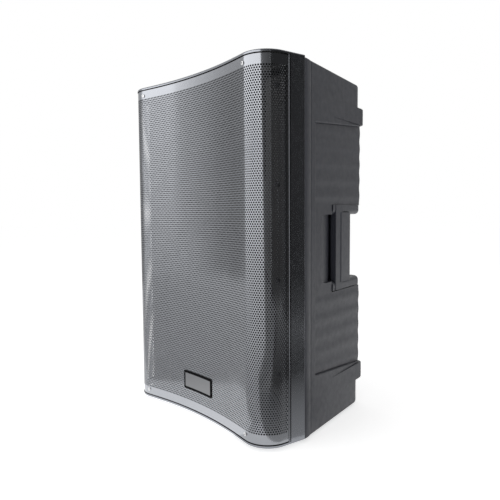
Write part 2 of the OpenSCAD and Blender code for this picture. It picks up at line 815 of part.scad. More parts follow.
module woofer_spider() {
    r0 = coil_r + coil_t + fit_gap;
    r1 = ledge_r - spider_in;
    n = spider_waves * 8;
    function wave_z(i) = ledge_z - skin_t - spider_wave * (1 + cos(i * 360 * spider_waves / n));
    function wave_r(i) = r0 + (r1 - spider_rim - r0) * i / n;
    color("#b98a3a") on_woofer() rotate_extrude() union() {
        for (i = [0:n - 1]) polygon([
            [wave_r(i), wave_z(i)], [wave_r(i + 1), wave_z(i + 1)],
            [wave_r(i + 1), wave_z(i + 1) + skin_t], [wave_r(i), wave_z(i) + skin_t]
        ]);
        translate([wave_r(n), wave_z(n)]) square([r1 - wave_r(n), skin_t]);
        translate([r1 - spider_foot, wave_z(n)]) square([spider_foot, ledge_z - wave_z(n)]);
    }
}
gap_out = coil_r + coil_t + coil_gap;
gap_in = coil_r - coil_gap;
module woofer_top_plate() {
    color(steel) on_woofer() translate([0, 0, plate_z]) tube(plate_r, gap_out, top_plate_t);
}
module woofer_magnet() {
    color("#303033") on_woofer() translate([0, 0, plate_z + top_plate_t])
        tube(magnet_r, gap_out + magnet_gap, magnet_t);
}
module woofer_yoke() {
    yoke_z = plate_z + top_plate_t + magnet_t;
    color(steel) on_woofer() difference() {
        union() {
            translate([0, 0, yoke_z]) cylinder(r = plate_r, h = yoke_t);
            translate([0, 0, plate_z]) cylinder(r = gap_in, h = yoke_z - plate_z + eps);
        }
        translate([0, 0, plate_z - eps]) cylinder(r = vent_r, h = yoke_z - plate_z + yoke_t + 2 * eps);
    }
}

// Horn and compression driver
horn_flange_t = 4;
throat_bore_r = 12.7;
waist_share = 0.4;
waist_w = 170;
waist_h = 80;
hub_r = 50;
hub_t = 8;
driver_bolt_n = 3;
driver_bolt_d = 6;
driver_bolt_r = 38;
slice = 0.5;
module flare(grow) {
    z1 = horn_d * waist_share;
    hull() {
        translate([0, 0, -grow]) block(mouth_w + 2 * grow, mouth_h + 2 * grow, slice + grow);
        translate([0, 0, z1]) block(waist_w + 2 * grow, waist_h + 2 * grow, slice);
    }
    hull() {
        translate([0, 0, z1]) block(waist_w + 2 * grow, waist_h + 2 * grow, slice);
        translate([0, 0, horn_d - slice]) cylinder(r = throat_bore_r + grow, h = slice, $fn = 32);
    }
}
module at_driver_bolts() {
    on_baffle(0, horn_z) translate([0, 0, horn_d - hub_t])
        for (i = [0:driver_bolt_n - 1]) rotate([0, 0, i * 360 / driver_bolt_n])
            translate([driver_bolt_r, 0, 0]) children();
}
module horn_flare() {
    color("#1c1d1f") difference() {
        on_baffle(0, horn_z) difference() {
            union() {
                translate([0, 0, -horn_flange_t]) block(horn_w, horn_h, horn_flange_t);
                flare(horn_wall);
                translate([0, 0, horn_d - hub_t]) cylinder(r = hub_r, h = hub_t);
            }
            flare(0);
            translate([0, 0, -horn_flange_t - eps]) block(mouth_w, mouth_h, horn_flange_t + eps + slice / 2);
            translate([0, 0, horn_d - eps]) cylinder(r = throat_bore_r, h = 2 * eps);
        }
        translate([0, -horn_flange_t, 0]) at_horn_screws() screw_hole(horn_d_screw, horn_flange_t);
        at_driver_bolts() screw_hole(driver_bolt_d, hub_t);
    }
}
horn_screw_l = 20;
horn_head_d = 9;
horn_head_h = 3;
module horn_screws() {
    color(black) translate([0, -horn_flange_t, 0]) at_horn_screws()
        screw(horn_d_screw, horn_screw_l, horn_head_d, horn_head_h);
}
driver_r = 60;
driver_coil_r = 25.4;
driver_gap = 0.7;
driver_magnet_gap = 8;
driver_plate_t = 12;
driver_magnet_t = 18;
driver_top_t = 8;
driver_top_z = driver_plate_t + driver_magnet_t;
dome_gap = 3;
dome_z = driver_top_z + driver_top_t + dome_gap;
driver_bolt_l = 18;
module on_driver() translate([0, baffle_y + horn_d, horn_z]) rotate([-90, 0, 0]) children();
module driver_yoke() {
    color(steel) difference() {
        on_driver() difference() {
            union() {
                cylinder(r = driver_r, h = driver_plate_t);
                cylinder(r = driver_coil_r - driver_gap, h = driver_top_z + driver_top_t);
            }
            translate([0, 0, -eps]) cylinder(r = throat_bore_r, h = dome_z);
        }
        at_driver_bolts() screw_hole(driver_bolt_d, driver_bolt_l);
    }
}
module driver_magnet() {
    color("#303033") on_driver() translate([0, 0, driver_plate_t])
        tube(driver_r, driver_coil_r + driver_magnet_gap, driver_magnet_t);
}
module driver_top_plate() {
    color(steel) on_driver() translate([0, 0, driver_top_z])
        tube(driver_r, driver_coil_r + driver_gap, driver_top_t);
}
former_t = 0.4;
former_l = 8;
dome_lift = 1;
dome_ball = 32;
module driver_diaphragm() {
    rise = dome_ball - sqrt(dome_ball * dome_ball - driver_coil_r * driver_coil_r);
    color("#c9b27a") on_driver() rotate_extrude() {
        translate([driver_coil_r - former_t, dome_z - former_l]) square([former_t, former_l + dome_lift]);
        translate([0, dome_z + dome_lift + rise - dome_ball]) intersection() {
            difference() {
                circle(dome_ball, $fn = 200);
                circle(dome_ball - former_t, $fn = 200);
            }
            translate([0, dome_ball - rise]) square([driver_coil_r, rise]);
        }
    }
}
suspension_r = 40;
suspension_w = 6;
module driver_suspension() {
    color("#8c7a4a") on_driver() {
        translate([0, 0, dome_z - dome_lift]) tube(suspension_r, driver_coil_r + fit_gap, former_t);
        translate([0, 0, driver_top_z + driver_top_t])
            tube(suspension_r, suspension_r - suspension_w, dome_gap - dome_lift);
    }
}
cap_wall = 3;
cap_h = 26;
module driver_cap() {
    color(black) on_driver() translate([0, 0, driver_top_z + driver_top_t]) difference() {
        cylinder(r = driver_r, h = cap_h);
        translate([0, 0, -eps]) cylinder(r = driver_r - cap_wall, h = cap_h - cap_wall + eps);
    }
}
driver_head_d = 10;
driver_head_h = 4;
module driver_bolts() {
    color(steel) at_driver_bolts() screw(driver_bolt_d, driver_bolt_l, driver_head_d, driver_head_h);
}

// Ports
module port_tube() {
    color(black) on_baffle(port_x, port_z) translate([0, 0, -port_wall]) difference() {
        union() {
            cylinder(r = port_flange_r, h = port_wall);
            cylinder(r = port_r + port_wall, h = port_l);
        }
        translate([0, 0, -eps]) cylinder(r = port_r, h = port_l + 2 * eps);
    }
}
module port_tube_right() port_tube();
module port_tube_left() mirror([1, 0, 0]) port_tube();

// Amplifier panel: x across, z above the panel's middle
panel_d = 4;
panel_screw_l = 12;
panel_head_d = 7.5;
panel_head_h = 2.4;
panel_rows = 4;
module on_amp(x, z) translate([x, amp_y, amp_z + z]) rotate([-90, 0, 0]) children();
module into_amp(x, z) translate([x, amp_y, amp_z + z]) rotate([90, 0, 0]) children();
module at_panel_screws() {
    for (side = [-1, 1], i = [0:panel_rows - 1])
        into_amp(side * (amp_w / 2 - ledge / 2), (i / (panel_rows - 1) - 0.5) * (amp_h - ledge)) children();
}
jack_z = 140;
jack_step = 52;
knob_z = 84;
knob_step = 52;
switch_row = 44;
button_x = -52;
light_x = 20;
light_step = 16;
light_r = 2.5;
light_rise = 0.6;
light_foot = 5;
light_collar = 1;
sink_z = -42;
sink_w = 168;
sink_h = 124;
sink_base = 4;
sink_fin_h = 12;
sink_fin_t = 2;
sink_fin_n = 15;
mains_z = -152;
mains_x = -46;
power_x = 34;
jack_w = 26;
jack_h = 31;
jack_plate_t = 2.5;
jack_body_r = 12;
jack_body_l = 26;
socket_r = 9.7;
socket_l = 13;
plug_r = 3.3;
pot_bush_r = 3.5;
spindle_r = 3;
button_w = 8;
stud_r = 3;
stud_in = 6;
board_w = 150;
board_h = 110;
board_t = 1.6;
board_z = 60;
board_off = 34;
mains_w = 28;
mains_h = 20;
switch_w = 18;
switch_r = 11;
switch_wall = 2;
switch_case_w = switch_w + 2 * switch_wall;
switch_case_h = 2 * (switch_r + switch_wall);
switch_case_l = 18;
switch_rim = 2;
toroid_z = -70;
toroid_r = 54;
toroid_in = 18;
toroid_h = 42;
bolt_r = 4;
jack_spots = [[-jack_step, jack_z], [0, jack_z]];
link_spot = [jack_step, jack_z];
knob_spots = [[-knob_step, knob_z], [0, knob_z], [knob_step, knob_z]];
light_spots = [for (i = [0:2]) [light_x + i * light_step, switch_row]];
module through_panel() translate([0, 0, -amp_t - eps]) linear_extrude(amp_t + 2 * eps) children();
module amp_panel() {
    color("#222426") difference() {
        union() {
            translate([-amp_w / 2, amp_y - amp_t, amp_z - amp_h / 2]) cube([amp_w, amp_t, amp_h]);
            for (x = [-1, 1], z = [-1, 1])
                into_amp(x * (board_w / 2 - stud_in), board_z + z * (board_h / 2 - stud_in))
                    cylinder(r = stud_r, h = board_off);
        }
        at_panel_screws() screw_hole(panel_d, amp_t);
        for (p = concat(jack_spots, [link_spot]))
            on_amp(p.x, p.y) through_panel() circle(jack_body_r + fit_gap);
        for (p = knob_spots) on_amp(p.x, p.y) through_panel() circle(pot_bush_r + screw_gap);
        for (p = light_spots) on_amp(p.x, p.y) through_panel() circle(light_r + screw_gap);
        on_amp(button_x, switch_row) through_panel() square(button_w + 2 * fit_gap, center = true);
        on_amp(mains_x, mains_z) through_panel()
            square([mains_w + 2 * fit_gap, mains_h + 2 * fit_gap], center = true);
        on_amp(power_x, mains_z) through_panel()
            square([switch_case_w + 2 * fit_gap, switch_case_h + 2 * fit_gap], center = true);
        into_amp(0, toroid_z) screw_hole(2 * bolt_r, amp_t);
    }
}
module panel_gasket() {
    color(black) difference() {
        translate([-amp_w / 2, seat_y, amp_z - amp_h / 2]) cube([amp_w, seal_t, amp_h]);
        translate([-amp_w / 2 + ledge, seat_y - eps, amp_z - amp_h / 2 + ledge])
            cube([amp_w - 2 * ledge, seal_t + 2 * eps, amp_h - 2 * ledge]);
        at_panel_screws() screw_hole(panel_d, panel_screw_l);
    }
}
module panel_screws() {
    color(steel) at_panel_screws() screw(panel_d, panel_screw_l, panel_head_d, panel_head_h);
}
module heat_sink() {
    color("#1d1f21") on_amp(0, sink_z) difference() {
        union() {
            block(sink_w, sink_h, sink_base);
            for (i = [0:sink_fin_n - 1])
                translate([(i / (sink_fin_n - 1) - 0.5) * (sink_w - sink_fin_t), 0, 0])
                    block(sink_fin_t, sink_h, sink_base + sink_fin_h);
        }
        translate([0, sink_z - toroid_z, -eps]) cylinder(r = bolt_r + screw_gap, h = sink_base + 2 * eps);
    }
}
store_x = 40;
store_y = 10;
store_r = 14;
store_l = 36;
chip_x = 24;
chip_y = -34;
chip_w = 20;
chip_h = 14;
module amp_board() {
    color("#1f5a3a") into_amp(0, board_z) {
        translate([0, 0, board_off]) block(board_w, board_h, board_t);
        for (x = [-1, 1])
            translate([x * store_x, store_y, board_off + board_t]) cylinder(r = store_r, h = store_l);
        for (x = [-1, 1]) translate([x * chip_x, chip_y, board_off + board_t]) block(chip_w, chip_w, chip_h);
    }
}
module transformer() {
    color("#a0722c") into_amp(0, toroid_z) translate([0, 0, amp_t]) tube(toroid_r, toroid_in, toroid_h);
}
clamp_t = 3;
clamp_w = 16;
bolt_end = 6;
module transformer_clamp() {
    color(steel) into_amp(0, toroid_z) {
        translate([0, 0, amp_t + toroid_h]) cylinder(r = toroid_in + clamp_w, h = clamp_t);
        cylinder(r = bolt_r, h = amp_t + toroid_h + clamp_t + bolt_end);
    }
}
knob_lift = 1;
skirt_h = 3;
skirt_w = 1;
pointer_w = 1.2;
pointer_d = 1;
spindle_in = 10;
pot_l = 12;
pot_w = 17;
module level_knob(p) {
    color("#2a2b2d") on_amp(p.x, p.y) difference() {
        union() {
            translate([0, 0, knob_lift]) cylinder(r = knob_r, h = skirt_h);
            translate([0, 0, knob_lift])
                cylinder(r1 = knob_r - skirt_w, r2 = knob_r - 2 * skirt_w, h = knob_h);
            translate([0, 0, -amp_t - spindle_in])
                cylinder(r = spindle_r, h = amp_t + spindle_in + knob_lift + skirt_h);
        }
        translate([-pointer_w / 2, -knob_r, knob_lift + knob_h - pointer_d])
            cube([pointer_w, knob_r, 2 * pointer_d]);
    }
}
module level_knob_1() level_knob(knob_spots[0]);
module level_knob_2() level_knob(knob_spots[1]);
module level_knob_3() level_knob(knob_spots[2]);
module pot_bodies() {
    color("#6b6e72") for (p = knob_spots) into_amp(p.x, p.y) difference() {
        union() {
            cylinder(r = pot_bush_r, h = amp_t + pot_l);
            translate([0, 0, amp_t]) block(pot_w, pot_w, pot_l);
        }
        translate([0, 0, -eps]) cylinder(r = spindle_r + shaft_gap, h = amp_t + spindle_in + fit_gap + eps);
    }
}
latch_w = 8;
latch_d = 3.6;
latch_out = 1;
latch_y = -jack_h / 2 + latch_out + latch_d / 2;
pin_r = 1.2;
pin_l = 9;
pin_ring_r = 5;
module d_socket(pins) {
    color("#1f2022") difference() {
        union() {
            block(jack_w, jack_h, jack_plate_t);
            translate([0, 0, -jack_body_l]) cylinder(r = jack_body_r, h = jack_body_l + eps);
        }
        translate([0, 0, jack_plate_t - socket_l]) cylinder(r = socket_r, h = socket_l + eps);
        if (!pins) {
            translate([0, 0, jack_plate_t - 2 * socket_l]) cylinder(r = plug_r, h = 2 * socket_l);
            translate([0, latch_y, -eps])
                block(latch_w + 2 * fit_gap, latch_d + 2 * fit_gap, 2 * jack_plate_t);
        }
    }
    if (pins) for (i = [0:2])
        rotate([0, 0, 90 + i * 120]) translate([pin_ring_r, 0, jack_plate_t - socket_l - eps])
            color("#c9a24a") cylinder(r = pin_r, h = pin_l + eps);
}
module input_jack_1() on_amp(jack_spots[0].x, jack_spots[0].y) d_socket(false);
module input_jack_2() on_amp(jack_spots[1].x, jack_spots[1].y) d_socket(false);
module link_output() on_amp(link_spot.x, link_spot.y) d_socket(true);
module jack_latch(p) {
    color("#3a3b3e") on_amp(p.x, p.y) translate([0, latch_y, latch_travel + screw_gap])
        block(latch_w, latch_d, jack_plate_t + latch_out - screw_gap);
}
module jack_latch_1() jack_latch(jack_spots[0]);
module jack_latch_2() jack_latch(jack_spots[1]);
mains_l = 18;
mains_ear = 10;
mains_lip = 3;
mains_plate_t = 2.5;
mains_floor = 4;
blade_step = 7;
blade_shift = 2;
blade_t = 1.6;
blade_w = 4;
blade_l = 14;
mains_cut_w = 24;
mains_cut_h = 16.4;
module mains_inlet() {
    color("#1a1b1c") on_amp(mains_x, mains_z) difference() {
        union() {
            block(mains_w + 2 * mains_ear, mains_h + 2 * mains_lip, mains_plate_t);
            translate([0, 0, -mains_l]) block(mains_w, mains_h, mains_l + eps);
        }
        translate([0, 0, mains_floor - mains_l]) block(mains_cut_w, mains_cut_h, mains_l + mains_plate_t);
    }
    color("#c9c9c4") on_amp(mains_x, mains_z) for (i = [-1:1])
        translate([i * blade_step, i == 0 ? -blade_shift : blade_shift, mains_floor - eps - mains_l])
            block(blade_t, blade_w, blade_l);
}
pivot_in = 4;
module at_switch() on_amp(power_x, mains_z) children();
module switch_housing() {
    color("#1a1b1c") at_switch() difference() {
        union() {
            block(switch_case_w + 2 * switch_rim, switch_case_h + 2 * switch_rim, switch_rim);
            translate([0, 0, -switch_case_l]) block(switch_case_w, switch_case_h, switch_case_l + eps);
        }
        translate([-switch_w / 2 - fit_gap, 0, -pivot_in]) rotate([0, 90, 0])
            cylinder(r = switch_r + fit_gap, h = switch_w + 2 * fit_gap);
        translate([0, 0, -pivot_in]) block(switch_w + 2 * fit_gap, 2 * switch_r + 2 * fit_gap, 2 * switch_r);
    }
}
rocker_crown = 6;
rocker_dip = 4;
module rocker_top() {
    far = 2 * switch_r;
    rotate([90, 0, 90]) linear_extrude(2 * switch_w, center = true) polygon([
        [-far, rocker_crown + far * tan(rocker_dip)], [0, rocker_crown],
        [far, rocker_crown + far * tan(rocker_dip)], [far, 2 * far], [-far, 2 * far]
    ]);
}
module power_rocker() {
    color("#b01f1f") at_switch() translate([0, 0, -pivot_in]) rotate([rocker_tilt, 0, 0]) difference() {
        translate([-switch_w / 2, 0, 0]) rotate([0, 90, 0]) cylinder(r = switch_r, h = switch_w);
        rocker_top();
    }
}
button_l = 12;
button_out = 4;
button_case = 4;
module button_housing() {
    color("#303236") into_amp(button_x, switch_row) translate([0, 0, amp_t]) difference() {
        block(button_w + 2 * button_case, button_w + 2 * button_case, button_l + button_travel);
        translate([0, 0, -eps]) linear_extrude(button_l - amp_t + button_travel + eps)
            square(button_w + 2 * fit_gap, center = true);
    }
}
module mode_button() {
    color("#d8d8d4") into_amp(button_x, switch_row) translate([0, 0, -button_out])
        block(button_w, button_w, button_out + button_l - fit_gap);
}
module status_lights() {
    color("#3fae4a") for (p = light_spots) on_amp(p.x, p.y) {
        translate([0, 0, -amp_t - light_foot]) cylinder(r = light_r, h = amp_t + light_foot + light_rise);
        translate([0, 0, light_rise]) intersection() {
            sphere(light_r);
            cylinder(r = light_r, h = light_r);
        }
        translate([0, 0, -amp_t - light_foot]) cylinder(r = light_r + light_collar, h = light_foot);
    }
}

front_shell();
rear_shell();
shell_gasket();
shell_screws();
front_grille();
grille_screws();
badge_frame();
badge_plate();
handle_grip_left();
handle_grip_right();
handle_screws();
rubber_feet();
pole_socket();
pole_socket_screws();
damping_foam();
woofer_frame();
woofer_gasket();
woofer_surround();
woofer_cone();
dust_cap();
voice_coil();
woofer_spider();
woofer_top_plate();
woofer_magnet();
woofer_yoke();
woofer_screws();
horn_flare();
horn_screws();
driver_yoke();
driver_magnet();
driver_top_plate();
driver_diaphragm();
driver_suspension();
driver_cap();
driver_bolts();
port_tube_left();
port_tube_right();
amp_panel();
panel_gasket();
panel_screws();
heat_sink();
amp_board();
transformer();
transformer_clamp();
level_knob_1();
level_knob_2();
level_knob_3();
pot_bodies();
input_jack_1();
input_jack_2();
jack_latch_1();
jack_latch_2();
link_output();
mains_inlet();
switch_housing();
power_rocker();
mode_button();
button_housing();
status_lights();
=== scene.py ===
import math
import bpy
import numpy as np
from mathutils import Matrix, Quaternion, Vector


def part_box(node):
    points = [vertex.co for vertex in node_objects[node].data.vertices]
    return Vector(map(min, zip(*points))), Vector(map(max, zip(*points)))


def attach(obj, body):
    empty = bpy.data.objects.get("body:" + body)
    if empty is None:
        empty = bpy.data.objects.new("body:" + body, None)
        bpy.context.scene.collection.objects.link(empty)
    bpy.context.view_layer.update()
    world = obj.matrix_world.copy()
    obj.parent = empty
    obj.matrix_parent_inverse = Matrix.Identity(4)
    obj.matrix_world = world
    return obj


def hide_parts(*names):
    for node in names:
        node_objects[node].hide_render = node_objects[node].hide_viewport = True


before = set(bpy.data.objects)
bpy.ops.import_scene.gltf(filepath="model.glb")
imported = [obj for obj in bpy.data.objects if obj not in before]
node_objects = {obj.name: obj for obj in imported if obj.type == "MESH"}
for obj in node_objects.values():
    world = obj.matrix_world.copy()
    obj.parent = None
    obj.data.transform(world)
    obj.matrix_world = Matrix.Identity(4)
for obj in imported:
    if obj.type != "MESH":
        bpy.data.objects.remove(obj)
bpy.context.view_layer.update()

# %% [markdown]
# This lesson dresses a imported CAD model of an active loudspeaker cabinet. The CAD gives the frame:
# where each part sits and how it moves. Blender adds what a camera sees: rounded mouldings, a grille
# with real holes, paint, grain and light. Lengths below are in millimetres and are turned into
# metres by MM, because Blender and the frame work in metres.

MM = 0.001

# %% [markdown]
# The camera comes first, because every later comparison depends on it. A photograph of a box fixes
# its own camera: the edges that run to the rear shrink by a known amount, which gives the distance,
# and the slant of the top and bottom edges gives the tilt. The camera here stands at the right of
# the front and a little above the middle.

# %% Camera
CAMERA_PLACE = Vector((856.6, -772.6, 421.25)) * MM
CAMERA_AZIMUTH, CAMERA_TILT, CAMERA_ROLL = 48.27, 4.04, -0.39
LENS, SENSOR = 37.62, 36.0
camera_data = bpy.data.cameras.new("camera")
camera_data.lens, camera_data.sensor_width = LENS, SENSOR
camera = bpy.data.objects.new("camera", camera_data)
bpy.context.scene.collection.objects.link(camera)
turn, tilt = math.radians(CAMERA_AZIMUTH), math.radians(CAMERA_TILT)
look = Vector((-math.sin(turn) * math.cos(tilt), math.cos(turn) * math.cos(tilt), -math.sin(tilt)))
aim = look.to_track_quat("-Z", "Y").to_matrix().to_4x4()
camera.matrix_world = (
    Matrix.Translation(CAMERA_PLACE) @ aim @ Matrix.Rotation(math.radians(CAMERA_ROLL), 4, "Z")
)
bpy.context.scene.camera = camera
print("camera looks along", [round(v, 3) for v in look])

# %% [markdown]
# The studio is a pale floor, a white surround and two soft lamps. Painted sheet metal shows little
# colour of its own: it mirrors the room. So boards are set up around the cabinet, as a product
# photographer does: pale ones at the left and on the floor, dark ones at the right, and a leaning one
# in front that gives the right shoulder its bright stripe. Only reflections show the boards, and they
# cast no shadow. The floor adds a little light of its own, so that it stays near white, and still
# takes the shadow.

# %% Floor
scene = bpy.context.scene
scene.view_settings.view_transform = "Standard"
FLOOR_SIZE, FLOOR_TINT, FLOOR_GLOW, FLOOR_GLOW_SEEN = 30.0, 0.8, 0.3, 0.64


def link_all(tree, *pairs):
    for a, b in pairs:
        tree.links.new(a, b)


def set_range(node, low, high):
    """Sets the two ends of what a Map Range node gives."""
    node.inputs["To Min"].default_value, node.inputs["To Max"].default_value = low, high


def empty_material(name):
    m = bpy.data.materials.new(name)
    m.use_nodes = True
    m.node_tree.nodes.clear()
    return m, m.node_tree


def plane(name, size_x, size_y, place, turn_xyz=(0.0, 0.0, 0.0)):
    bpy.ops.object.select_all(action="DESELECT")
    bpy.ops.mesh.primitive_plane_add(size=1.0, location=place, rotation=turn_xyz)
    sheet = bpy.context.object
    sheet.name = name
    sheet.scale = (size_x, size_y, 1.0)
    return sheet


def floor_material():
    """Matt paint with a glow, which is stronger where the camera or a reflection sees it."""
    m, t = empty_material("studio_floor")
    out = t.nodes.new("ShaderNodeOutputMaterial")
    diffuse = t.nodes.new("ShaderNodeBsdfDiffuse")
    diffuse.inputs["Color"].default_value = (FLOOR_TINT, FLOOR_TINT, FLOOR_TINT, 1.0)
    glow = t.nodes.new("ShaderNodeEmission")
    both = t.nodes.new("ShaderNodeAddShader")
    path = t.nodes.new("ShaderNodeLightPath")
    seen = t.nodes.new("ShaderNodeMath")
    seen.operation = "MAXIMUM"
    level = t.nodes.new("ShaderNodeMapRange")
    set_range(level, FLOOR_GLOW, FLOOR_GLOW_SEEN)
    link_all(
        t,
        (path.outputs["Is Camera Ray"], seen.inputs[0]),
        (path.outputs["Is Glossy Ray"], seen.inputs[1]),
        (seen.outputs[0], level.inputs["Value"]),
        (level.outputs["Result"], glow.inputs["Strength"]),
        (diffuse.outputs[0], both.inputs[0]),
        (glow.outputs[0], both.inputs[1]),
        (both.outputs[0], out.inputs["Surface"]),
    )
    return m


floor = plane("studio_floor", FLOOR_SIZE, FLOOR_SIZE, (0.0, 0.0, 0.0))
floor.data.materials.append(floor_material())
print("floor:", FLOOR_SIZE, "m wide")

# %% Boards for the reflections
UP, DOWN = (0.0, 0.0, 1.0), (0.0, 0.0, -1.0)
LIFT, LOW_LIFT = 0.003, 0.002


def card(name, width, height, place, facing, level, far_level, along="X", lean=0.0):
    """A board that only reflections show; its glow runs from level to far_level along its own axis."""
    turned = Vector(facing).to_track_quat("Z", "Y") @ Quaternion((0, 0, 1), math.radians(lean))
    board = plane(name, width, height, place, turned.to_euler())
    m, t = empty_material(name)
    where = t.nodes.new("ShaderNodeTexCoord")
    split = t.nodes.new("ShaderNodeSeparateXYZ")
    span = t.nodes.new("ShaderNodeMapRange")
    span.inputs["From Min"].default_value, span.inputs["From Max"].default_value = -0.5, 0.5
    set_range(span, level, far_level)
    glow = t.nodes.new("ShaderNodeEmission")
    out = t.nodes.new("ShaderNodeOutputMaterial")
    link_all(
        t,
        (where.outputs["Object"], split.inputs["Vector"]),
        (split.outputs[along], span.inputs["Value"]),
        (span.outputs["Result"], glow.inputs["Strength"]),
        (glow.outputs[0], out.inputs["Surface"]),
    )
    board.data.materials.append(m)
    board.visible_camera = board.visible_diffuse = board.visible_shadow = False


# Each row gives a board's width and height, its place, the way it faces and its glow at both ends.
card("shoulder_card", 0.78, 1.1, (0.01, -0.5, 0.55), (0.0, 1.0, 0.0), 1.0, 2.6, along="Y", lean=-10.0)
card("front_card", 2.0, 2.4, (1.75, -1.9, 1.0), (-1.75, 1.9, 0.0), 0.155, 0.31)
card("right_card", 2.4, 2.4, (1.75, 0.35, 1.0), (-1.0, 0.0, 0.0), 0.054, 0.054)
card("back_card", 2.4, 2.4, (1.0, 2.4, 1.35), (0.0, -1.0, 0.0), 0.6, 0.6)
card("front_left_card", 1.2, 2.4, (-1.42, -2.2, 1.0), (1.42, 2.2, 0.0), 1.12, 3.1, along="Y")
card("left_front_card", 0.73, 2.4, (-2.1, -1.53, 1.0), (2.1, 1.53, 0.0), 1.47, 0.71)
card("left_card", 2.0, 2.4, (-2.1, -0.12, 1.0), (1.0, 0.0, 0.0), 0.70, 0.70)
card("back_left_card", 1.6, 2.4, (-1.9, 1.6, 1.0), (1.9, -1.6, 0.0), 0.3, 0.3)
card("ceiling_card", 5.0, 5.0, (0.0, -0.5, 2.3), DOWN, 0.06, 0.75)
card("left_floor_card", 2.6, 2.13, (-1.05, -1.345, LIFT), UP, 0.95, 1.25)
card("lip_floor_card", 2.47, 0.18, (-1.115, -0.19, LIFT), UP, 1.6, 1.6)
card("right_floor_card", 2.4, 2.0, (1.45, -1.32, LIFT), UP, 0.46, 0.42)
card("near_floor_card", 0.3, 0.52, (0.4, -0.06, LIFT), UP, 0.16, 0.52)
card("side_floor_card", 0.3, 1.0, (0.30, 0.70, LIFT), UP, 0.95, 0.95)
card("mid_floor_card", 1.2, 0.82, (1.15, 0.09, LOW_LIFT), UP, 0.40, 0.06)
card("far_floor_card", 0.75, 1.2, (1.375, 1.1, LIFT), UP, 0.12, 0.06)

# %% Surround and lamps
SURROUND_LIGHT, SURROUND_SEEN = 0.45, 1.0
world = bpy.data.worlds.new("surround")
scene.world = world
world.use_nodes = True
sky = world.node_tree
sky.nodes.clear()
path = sky.nodes.new("ShaderNodeLightPath")
seen = sky.nodes.new("ShaderNodeMath")
seen.operation = "MAXIMUM"
level = sky.nodes.new("ShaderNodeMapRange")
set_range(level, SURROUND_LIGHT, SURROUND_SEEN)
back = sky.nodes.new("ShaderNodeBackground")
back.inputs["Color"].default_value = (1.0, 1.0, 1.0, 1.0)
out = sky.nodes.new("ShaderNodeOutputWorld")
link_all(
    sky,
    (path.outputs["Is Camera Ray"], seen.inputs[0]),
    (path.outputs["Is Glossy Ray"], seen.inputs[1]),
    (seen.outputs[0], level.inputs["Value"]),
    (level.outputs["Result"], back.inputs["Strength"]),
    (back.outputs[0], out.inputs["Surface"]),
)


def soft_lamp(name, place, target, width, height, watts):
    data = bpy.data.lights.new(name, "AREA")
    data.shape = "RECTANGLE"
    data.size, data.size_y = width, height
    data.energy = watts
    lamp = bpy.data.objects.new(name, data)
    lamp.location = place
    lamp.rotation_euler = (Vector(target) - Vector(place)).to_track_quat("-Z", "Y").to_euler()
    scene.collection.objects.link(lamp)
    return lamp


front_lamp = soft_lamp("front_lamp", (-0.7, -2.6, 0.95), (0.0, 0.0, 0.7), 1.9, 1.9, 24.0)
front_lamp.visible_glossy = False
soft_lamp("top_lamp", (-0.3, -0.3, 2.4), (0.0, 0.0, 0.3), 1.8, 1.8, 12.0)

# %% [markdown]
# A finish is more than a colour. Moulded plastic has a fine grain that breaks up its shine, painted
# metal has a faint orange peel, and both vary a little from place to place. One helper builds such a
# finish from three noises: a wide one for the tone, a middle one for the roughness and a fine one for
# the grain, which becomes a bump. Object coordinates are in metres, so a scale of 1000 gives details
# of about a millimetre.

# %% Helpers for finishes
TONE_SCALE, WEAR_SCALE = 24.0, 90.0


def new_finish(name, metallic):
    """A material with its node tree, its shader and the coordinates of the object."""
    m = bpy.data.materials.new(name)
    m.use_nodes = True
    shader = m.node_tree.nodes["Principled BSDF"]
    shader.inputs["Metallic"].default_value = metallic
    return m, m.node_tree, shader, m.node_tree.nodes.new("ShaderNodeTexCoord").outputs["Object"]


def noise(t, scale, detail):
    texture = t.nodes.new("ShaderNodeTexNoise")
    texture.inputs["Scale"].default_value = scale
    texture.inputs["Detail"].default_value = detail
    return texture


def two_tone(t, first, second):
    mix = t.nodes.new("ShaderNodeMix")
    mix.data_type = "RGBA"
    mix.inputs["A"].default_value = (*first, 1.0)
    mix.inputs["B"].default_value = (*second, 1.0)
    return mix


def lighter(colour, by):
    return [min(1.0, c * by) for c in colour]


def relief(t, strength, depth):
    bump = t.nodes.new("ShaderNodeBump")
    bump.inputs["Strength"].default_value = strength
    bump.inputs["Distance"].default_value = depth * MM
    return bump


